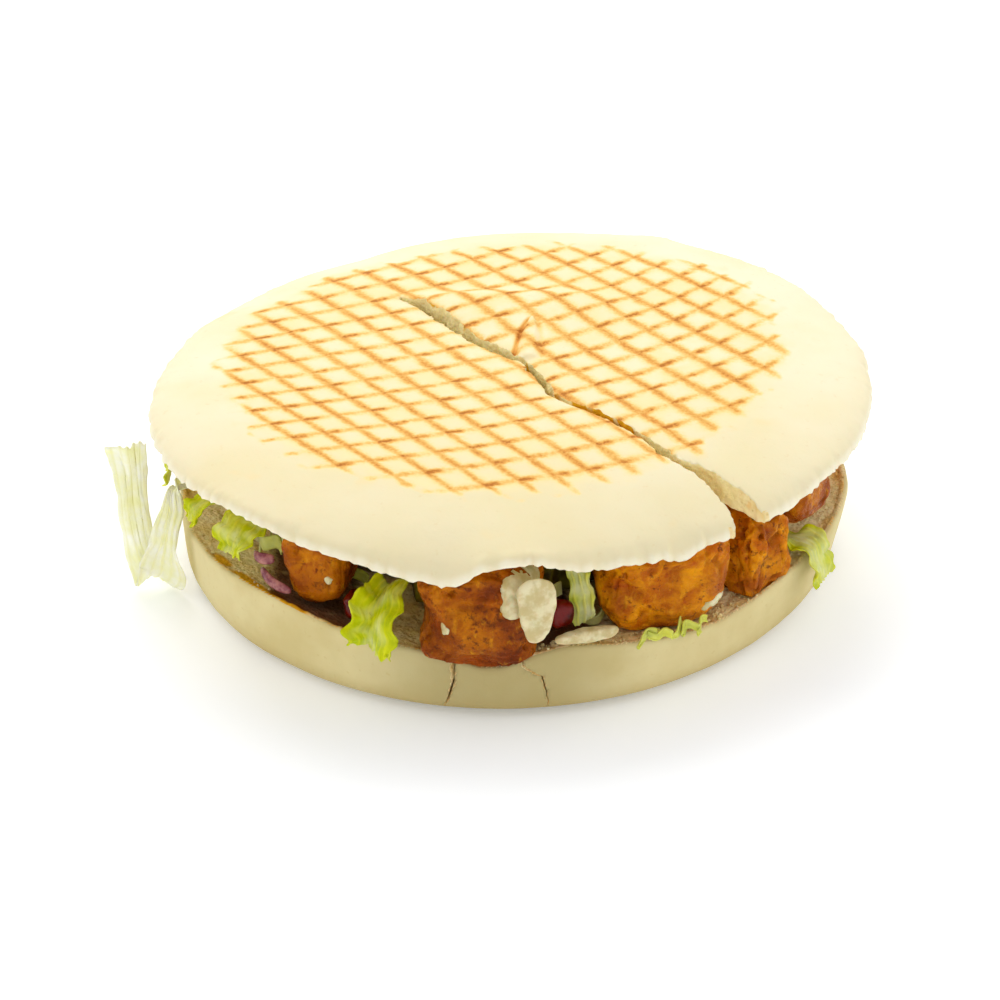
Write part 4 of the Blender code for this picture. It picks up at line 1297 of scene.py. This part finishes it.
def soft_lump(name, place, sides, turn, bump, seed):
    """A soft rounded piece; with a taper it narrows downwards to a hanging drop."""
    kind = name.split("_")[0]
    taper = DRIP_TAPER.get(name, 0.0)
    local, ball, faces = lump_shape(sides, SOFT_SQUARENESS[kind], bump, seed, SOFT_CELLS)
    local = local + (ball * np.array(sides) / 2 - local) * 0.55
    down = np.clip(0.5 - local[:, 2] / sides[2], 0, 1)
    narrow = 1 + 0.3 * taper - taper * smoothstep(0.1, 0.95, down)
    local = local * np.stack([narrow, 1 - 0.3 * taper * (1 - down), np.ones(len(local))], 1)
    local = local + ball * (0.5 * noise(local, 4.5, seed) + 0.2 * noise(local, 2.0, seed + 1) - 0.3)[:, None]
    points = place_at(*place) + turned(local, place[0], turn)
    piece(name + "_fine", between_breads(points), faces, SAUCE if kind == "sauce" else TOMATO, name, kind)


def smooth_line(knots, count):
    """Evenly many points on a smooth curve through the knots."""
    knots = np.asarray(knots, float)
    spread = np.concatenate([[2 * knots[0] - knots[1]], knots, [2 * knots[-1] - knots[-2]]])
    places = np.linspace(0, len(knots) - 1, count)
    line = []
    for place in places:
        i = min(int(place), len(knots) - 2)
        t = place - i
        a, b, c, d = spread[i : i + 4]
        square = 2 * a - 5 * b + 4 * c - d
        cube = 3 * b - a - 3 * c + d
        line.append(0.5 * (2 * b + (c - a) * t + square * t**2 + cube * t**3))
    return np.array(line)


def leaf(
    name,
    spine,
    across,
    widths,
    ruffle,
    curl,
    seed,
    tint,
    fold=0.0,
    ribs=3.0,
    crumple=0.2,
    rows=60,
    columns=36,
):
    """A thin wavy leaf along a curve, with ribs fanning along it, puckered skin and a torn edge."""
    line = smooth_line(spine, rows + 1)
    way = np.gradient(line, axis=0)
    way = way / np.linalg.norm(way, axis=1)[:, None]
    side = smooth_line(across, rows + 1)
    side = side - np.sum(side * way, 1)[:, None] * way
    side = side / np.linalg.norm(side, axis=1)[:, None]
    up = np.cross(way, side)
    wide = smooth_line(np.array(widths)[:, None], rows + 1)[:, 0]
    rng = np.random.default_rng(seed)
    phase = rng.uniform(0, 2 * math.pi, 4)
    u = np.linspace(0, 1, rows + 1)[:, None]
    v = np.linspace(-1, 1, columns + 1)[None, :]

    def wave(rate, shift, lean):
        return np.sin(2 * math.pi * rate * u + shift + lean * v)

    edge_wave = wave(2.3, phase[0], 1.6) + 0.6 * wave(4.1, phase[1], -1)
    lift = ruffle * (0.25 + np.abs(v) ** 1.5) * edge_wave
    lift = lift + (curl * v**2 + fold * np.sin(math.pi * v)) * wide[:, None] / 2
    reach = wide[:, None] / 2 * v * (0.98 + 0.10 * wave(3.3, phase[2], 0))
    flat = np.stack([u * 40 + 0 * v, wide[:, None] * v, 0 * u + 0 * v], -1)
    bend = v * ribs + 0.5 * noise(flat, 14.0, seed + 4)
    broken = 0.55 + 0.45 * smoothstep(-0.3, 0.4, noise(flat, 9.0, seed + 5))
    rib = np.exp(-(((bend - np.round(bend)) / 0.13) ** 2)) * broken
    frill = 0.5 * np.abs(v) ** 4 * wave(7.0, phase[3], 2)
    pucker = 0.35 * noise(flat, 4.5, seed) + 0.15 * noise(flat, 1.8, seed + 1) + 0.45 * rib
    tears = noise(flat, 3.0, seed + 2) + 0.4 * noise(flat, 1.3, seed + 6)
    torn = 1 - 0.10 * np.maximum(tears, -0.3) * np.abs(v) ** 3
    end = 1.3 * noise(np.stack([0 * v, wide[-1] * v, 0 * v], -1), 3.0, seed + 7) * smoothstep(0.86, 1.0, u)
    middle = line[:, None] + side[:, None] * (reach * torn)[..., None]
    middle = middle + up[:, None] * (lift + pucker + frill * ruffle)[..., None]
    middle = middle + way[:, None] * end[..., None]
    creased = (crumple * noise(flat, 7.0, seed + 8))[..., None]
    middle = middle + side[:, None] * creased * v[..., None] + 0.6 * up[:, None] * creased
    middle[..., 2] = np.maximum(middle[..., 2], LEAF_LOWEST)
    thick = LEAF_THICKNESS * (0.7 + 0.8 * rib) * (1 - 0.5 * np.abs(v) ** 6)
    made = piece(name + "_fine", *sheet_mesh(middle, thick), LETTUCE, name, "lettuce")
    number_layer(made, "rib", np.tile(rib.ravel(), 2))
    shade = np.clip(tint + 0.25 * (np.abs(v) ** 2 - 0.4) + 0.35 * noise(flat, 8.0, seed + 3), 0, 1)
    number_layer(made, "tint", np.tile(shade.ravel(), 2))


def sheet_mesh(middle, thick):
    """Points and triangles of a grid of points thickened into a closed sheet."""
    rows, columns = middle.shape[0] - 1, middle.shape[1] - 1
    normal = np.cross(np.gradient(middle, axis=0), np.gradient(middle, axis=1))
    normal = normal / np.maximum(np.linalg.norm(normal, axis=2)[..., None], 1e-9)
    half = normal * np.asarray(thick)[..., None] / 2
    points = np.concatenate([(middle + half).reshape(-1, 3), (middle - half).reshape(-1, 3)])
    back = (rows + 1) * (columns + 1)
    i, j = np.meshgrid(np.arange(rows), np.arange(columns), indexing="ij")
    first = (i * (columns + 1) + j).ravel()
    below = first + columns + 1
    front = np.concatenate([corners(first, below, below + 1), corners(first, below + 1, first + 1)])
    at = np.arange(back).reshape(rows + 1, columns + 1)
    border = np.concatenate([at[:-1, 0], at[-1, :-1], at[:0:-1, -1], at[0, :0:-1]])
    after = np.roll(border, -1)
    sides = [corners(after, border, back + border), corners(after, back + border, back + after)]
    return points, np.concatenate([front, back + front[:, ::-1], *sides])


def node_leaves():
    """The leaves that the solids have; the outer one's spine is in plain coordinates."""
    looks = (0.7, 0.12, 3, -0.2)
    shape = (OUTER_LEAF, OUTER_LEAF_ACROSS, OUTER_LEAF_WIDTHS)
    leaf("lettuce_outer_left", *shape, *looks, ribs=2.4, crumple=1.7, rows=130, columns=40)
    for name, (spine, across, widths, looks) in LEAVES.items():
        line = [place_at(*knot) for knot in spine]
        leaf(name, line, across, widths, *looks, **LEAF_EXTRAS.get(name, {}))


def soft_pieces():
    """Sauce, tomato and onion that the solids have."""
    for name, values in SOFT_LUMPS.items():
        soft_lump(name, *values)
    for name, values in ONIONS.items():
        onion_arc(name, *values)


def onion_arc(name, place, length, lean):
    """A bowed onion strip, leaning by some degrees from level."""
    centre = place_at(*place)
    outward, round_way = ways_at(place[0])
    tilt = math.radians(lean)
    along_way = round_way * math.cos(tilt) + np.array([0, 0, 1]) * math.sin(tilt)
    cross_way = np.cross(along_way, outward)
    u = np.linspace(-1, 1, 25)
    v = np.linspace(-1, 1, 9)
    grid = (
        centre
        + along_way * (u[:, None, None] * length / 2)
        + outward * (1.6 * (1 - u[:, None, None] ** 2) - 0.5 * v[None, :, None] ** 2)
        + cross_way * (v[None, :, None] * 1.7 * np.sqrt(1.05 - u[:, None, None] ** 4))
    )
    thick = 1.2 * (1 - 0.6 * v[None, :] ** 4) * (1 - 0.6 * u[:, None] ** 6)
    piece(name + "_fine", *sheet_mesh(grid, thick), ONION, name, "onion")


def salad_heap():
    """The heap of salad that fills the middle between the breads."""
    angles = round_angles(SALAD_COUNT)
    edge = SALAD_RADIUS + waves(angles, SALAD_WAVES)
    rings = []
    lifts = np.concatenate([[0.0, 0.0, 0.0], np.linspace(0.02, 0.98, 16), [1.0, 1.0, 1.0]])
    side_shares = 0.965 + 0.03 * np.sin(np.linspace(0, math.pi, 16))
    shares = np.concatenate([[0.3, 0.65, 0.93], side_shares, [0.93, 0.65, 0.3]])
    for share, lift in zip(shares, lifts):
        x = edge * share * np.cos(angles)
        y = edge * share * np.sin(angles)
        low = crumb_height(x, y) + SALAD_GAP
        high = lid_under(x, y) - SALAD_GAP
        points = np.stack([x, y, low + (high - low) * lift], 1)
        push = 1.8 * layered(points, 7.0, 61, 3) - 1.2
        outward = np.stack([np.cos(angles), np.sin(angles), 0 * angles], 1)
        rings.append(points + outward * push[:, None] * share)
    zero = np.zeros(1)
    bottom = float(crumb_height(zero, zero)[0]) + SALAD_GAP
    top = float(lid_under(zero, zero)[0]) - SALAD_GAP
    piece("salad_fine", *skin(rings, [0, 0, bottom], [0, 0, top]), SALAD, "salad", "salad")


def surface_tree(pieces):
    """One search tree, in millimetres, over all the given pieces."""
    points = []
    faces = []
    start = 0
    for made in pieces:
        own = mesh_points(made)
        points.extend(map(Vector, own.tolist()))
        faces.extend(tuple(start + i for i in polygon.vertices) for polygon in made.data.polygons)
        start += len(own)
    return BVHTree.FromPolygons(points, faces)


def dab(tree, azimuth, height, half_round, half_up, thickness, seed):
    """Points and triangles of a thin irregular smear laid on what a level ray from outside meets."""
    turns = round_angles(DAB_COUNT)
    rings = np.linspace(0.06, 1, DAB_RINGS)
    outline = 0.9 + 0.6 * noise(np.stack([np.cos(turns), np.sin(turns), 0 * turns], 1), 1.3, seed)
    outline = np.maximum(outline, 0.3)
    outward, round_way = ways_at(azimuth)
    front = []
    back = []
    for share in np.concatenate([[0], rings]):
        for turn, reach in zip(turns, outline):
            aside = half_round * share * reach * math.cos(turn)
            lift = half_up * share * reach * math.sin(turn)
            start = outward * RAY_START + round_way * aside + np.array([0, 0, height + lift])
            hit = tree.ray_cast(Vector(start), Vector(-outward), RAY_REACH)[0]
            if hit is None:
                return None
            hit = np.array(hit)
            rise = thickness * math.sqrt(max(1 - share**2.5, 0)) - 0.12 * thickness
            front.append(hit + outward * rise)
            back.append(hit - outward * DAB_SUNK)
            if share == 0:
                break
    front = np.array(front)
    back = np.array(back)
    count = len(turns)
    i = np.arange(count)
    j = (i + 1) % count
    faces = [corners(0 * i, 1 + i, 1 + j)]
    for row in range(len(rings) - 1):
        here = 1 + row * count
        faces.append(corners(here + i, here + count + i, here + count + j))
        faces.append(corners(here + i, here + count + j, here + j))
    faces = np.concatenate(faces)
    size = len(front)
    i = i + 1 + (len(rings) - 1) * count
    j = j + 1 + (len(rings) - 1) * count
    side = [corners(i, size + i, size + j), corners(i, size + j, j)]
    return np.concatenate([front, back]), np.concatenate([faces, size + faces[:, ::-1], *side])


def joined(name, parts, material):
    """One piece out of many small closed ones."""
    points = []
    faces = []
    start = 0
    for own, own_faces in parts:
        points.append(own)
        faces.append(own_faces + start)
        start += len(own)
    made = piece(name, np.concatenate(points), np.concatenate(faces), material)
    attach(made, "root")
    return made


def smears(tree):
    """Thin sauce that clings to the chicken and the rim."""
    parts = [dab(tree, *values, seed) for seed, values in enumerate(SMEARS, 70)]
    joined("sauce_smears", [part for part in parts if part], SAUCE)


def crumbs():
    """Loose crumbs on the lower bread's rim and cut face."""
    rng = np.random.default_rng(91)
    ball, faces = cube_ball(3)
    parts = []
    for _ in range(CRUMB_COUNT):
        azimuth = rng.uniform(*CRUMB_AZIMUTHS) if rng.random() < 0.7 else rng.uniform(-180, 180)
        angle = math.radians(azimuth)
        full = float(wall_radius(angle, rim_height(angle)))
        out = full * rng.uniform(0.93, 0.985)
        size = rng.uniform(0.25, 0.7)
        x, y = np.array([out * math.cos(angle)]), np.array([out * math.sin(angle)])
        centre = np.array([x[0], y[0], float(crumb_height(x, y)[0]) + 0.35 * size])
        shape = ball * (size * rng.uniform(0.6, 1.2, (1, 3)))
        shape = shape * (1 + 0.3 * rng.normal(size=(len(ball), 1)).clip(-1, 1))
        parts.append((centre + shape, faces))
    joined("loose_crumbs", parts, CRUMB)


def shred(rng, centre, azimuth, length, width):
    """A thin curled strip of leaf lying about level near the centre."""
    u = np.linspace(-1, 1, 19)[:, None]
    v = np.linspace(-1, 1, 5)[None, :]
    outward, round_way = ways_at(azimuth)
    slope = rng.uniform(-0.5, 0.5)
    along = round_way + np.array([0, 0, slope]) + outward * rng.uniform(-0.5, 0.5)
    along = along / np.linalg.norm(along)
    across = np.cross(along, outward)
    bow = rng.uniform(-2.5, 2.5)
    wave = rng.uniform(0.5, 1.2) * np.sin(rng.uniform(2, 4) * u + rng.uniform(0, 6))
    grid = (
        centre
        + along * (u[..., None] * length / 2)
        + across * (v[..., None] * width / 2 + wave[..., None] + 0 * u[..., None])
        + outward * ((bow * u**2 + 0.5 * v**2 + wave)[..., None])
    )
    return grid


def shreds():
    """Thin leaf strips in the gaps between the chicken pieces and the salad heap."""
    rng = np.random.default_rng(77)
    parts = []
    tints = []
    ribs = []

    def take(grid, gap):
        grid = between_breads(grid.reshape(-1, 3), gap).reshape(grid.shape)
        parts.append(sheet_mesh(grid, np.full(grid.shape[:2], SHRED_THICKNESS)))

    taken = [(values[0], math.degrees(values[3] / 2 / values[1]) * 0.75) for values in MEAT.values()]
    while len(parts) < SHRED_COUNT:
        azimuth = rng.uniform(-180, 180)
        near = min(abs((azimuth - middle + 180) % 360 - 180) - half for middle, half in taken)
        out = rng.uniform(72, 92) if near > 0 else rng.uniform(62, 70)
        if near > 0 and out > 84 and -160 < azimuth < -20:
            continue
        centre = place_at(azimuth, out, rng.uniform(22, 47))
        take(shred(rng, centre, azimuth, rng.uniform(9, 17), rng.uniform(2.2, 4.5)), SHRED_GAP)
        tints.append(np.full(len(parts[-1][0]), rng.uniform(0.2, 1.0)))
        ribs.append(np.full(len(parts[-1][0]), rng.uniform(0.0, 0.5)))
    for azimuth, out, height, length, width in RIM_SHREDS:
        grid = shred(rng, place_at(azimuth, out, height), azimuth, length, width)
        take(grid, RIM_SHRED_GAP)
        tints.append(np.full(len(parts[-1][0]), RIM_SHRED_TINT))
        ribs.append(np.full(len(parts[-1][0]), RIM_SHRED_RIB))
    made = joined("salad_shreds", parts, LETTUCE)
    number_layer(made, "tint", np.concatenate(tints))
    number_layer(made, "rib", np.concatenate(ribs))


def floor_and_light():
    """A plain pale floor, a soft sky that is brighter behind and above, and wide soft lights."""
    bpy.ops.mesh.primitive_plane_add(size=FLOOR_SIZE, location=(0, 0, FLOOR_LEVEL))
    floor = bpy.context.object
    floor.name = "floor"
    n = Nodes("floor_white")
    shade = n.mix(n.noise(400.0, 1.0), FLOOR_LIGHT, FLOOR_SHADE)
    floor.data.materials.append(n.finish(shade, 0.9, shine=0.02))
    n.surface.inputs["Emission Strength"].default_value = FLOOR_GLOW
    n.surface.inputs["Emission Color"].default_value = FLOOR_GLOW_COLOUR
    world = bpy.data.worlds.new("sky")
    bpy.context.scene.world = world
    world.use_nodes = True
    tree = world.node_tree
    way = tree.nodes.new("ShaderNodeTexCoord")
    towards = tree.nodes.new("ShaderNodeVectorMath")
    towards.operation = "DOT_PRODUCT"
    towards.inputs[1].default_value = SKY_BRIGHT_WAY
    strength = tree.nodes.new("ShaderNodeMapRange")
    strength.inputs["From Min"].default_value = SKY_SPAN[0]
    strength.inputs["From Max"].default_value = SKY_SPAN[1]
    strength.inputs["To Min"].default_value = SKY_DIM
    strength.inputs["To Max"].default_value = SKY_BRIGHT
    tree.links.new(way.outputs["Generated"], towards.inputs[0])
    tree.links.new(towards.outputs["Value"], strength.inputs["Value"])
    tree.links.new(strength.outputs["Result"], tree.nodes["Background"].inputs["Strength"])
    tree.nodes["Background"].inputs["Color"].default_value = (1, 1, 1, 1)
    for name, place, size, power in LIGHTS:
        light = bpy.data.lights.new(name, "AREA")
        light.energy = power
        light.size = size
        lamp = bpy.data.objects.new(name, light)
        lamp.location = place
        lamp.rotation_euler = (Vector(LIGHTS_AIM) - Vector(place)).to_track_quat("-Z", "Y").to_euler()
        bpy.context.scene.collection.objects.link(lamp)


def camera():
    """The view that the photo was taken from."""
    view = bpy.data.cameras.new("camera")
    view.lens = CAMERA_LENS
    view.sensor_width = CAMERA_SENSOR
    eye = bpy.data.objects.new("camera", view)
    eye.location = CAMERA_PLACE
    eye.rotation_euler = (math.radians(90 - CAMERA_DOWN), 0, 0)
    bpy.context.scene.collection.objects.link(eye)
    bpy.context.scene.camera = eye


carrying = [lower_bread()]
upper_bread()
for number, (meat_name, meat_values) in enumerate(MEAT.items()):
    fine = SHOWN_MEAT_CELLS if number < SHOWN_MEAT else HIDDEN_MEAT_CELLS
    carrying.append(chicken(meat_name, meat_values, number, fine))
salad_heap()
node_leaves()
soft_pieces()
smears(surface_tree(carrying))
crumbs()
shreds()
floor_and_light()
camera()
bpy.context.scene.view_settings.view_transform = "Standard"
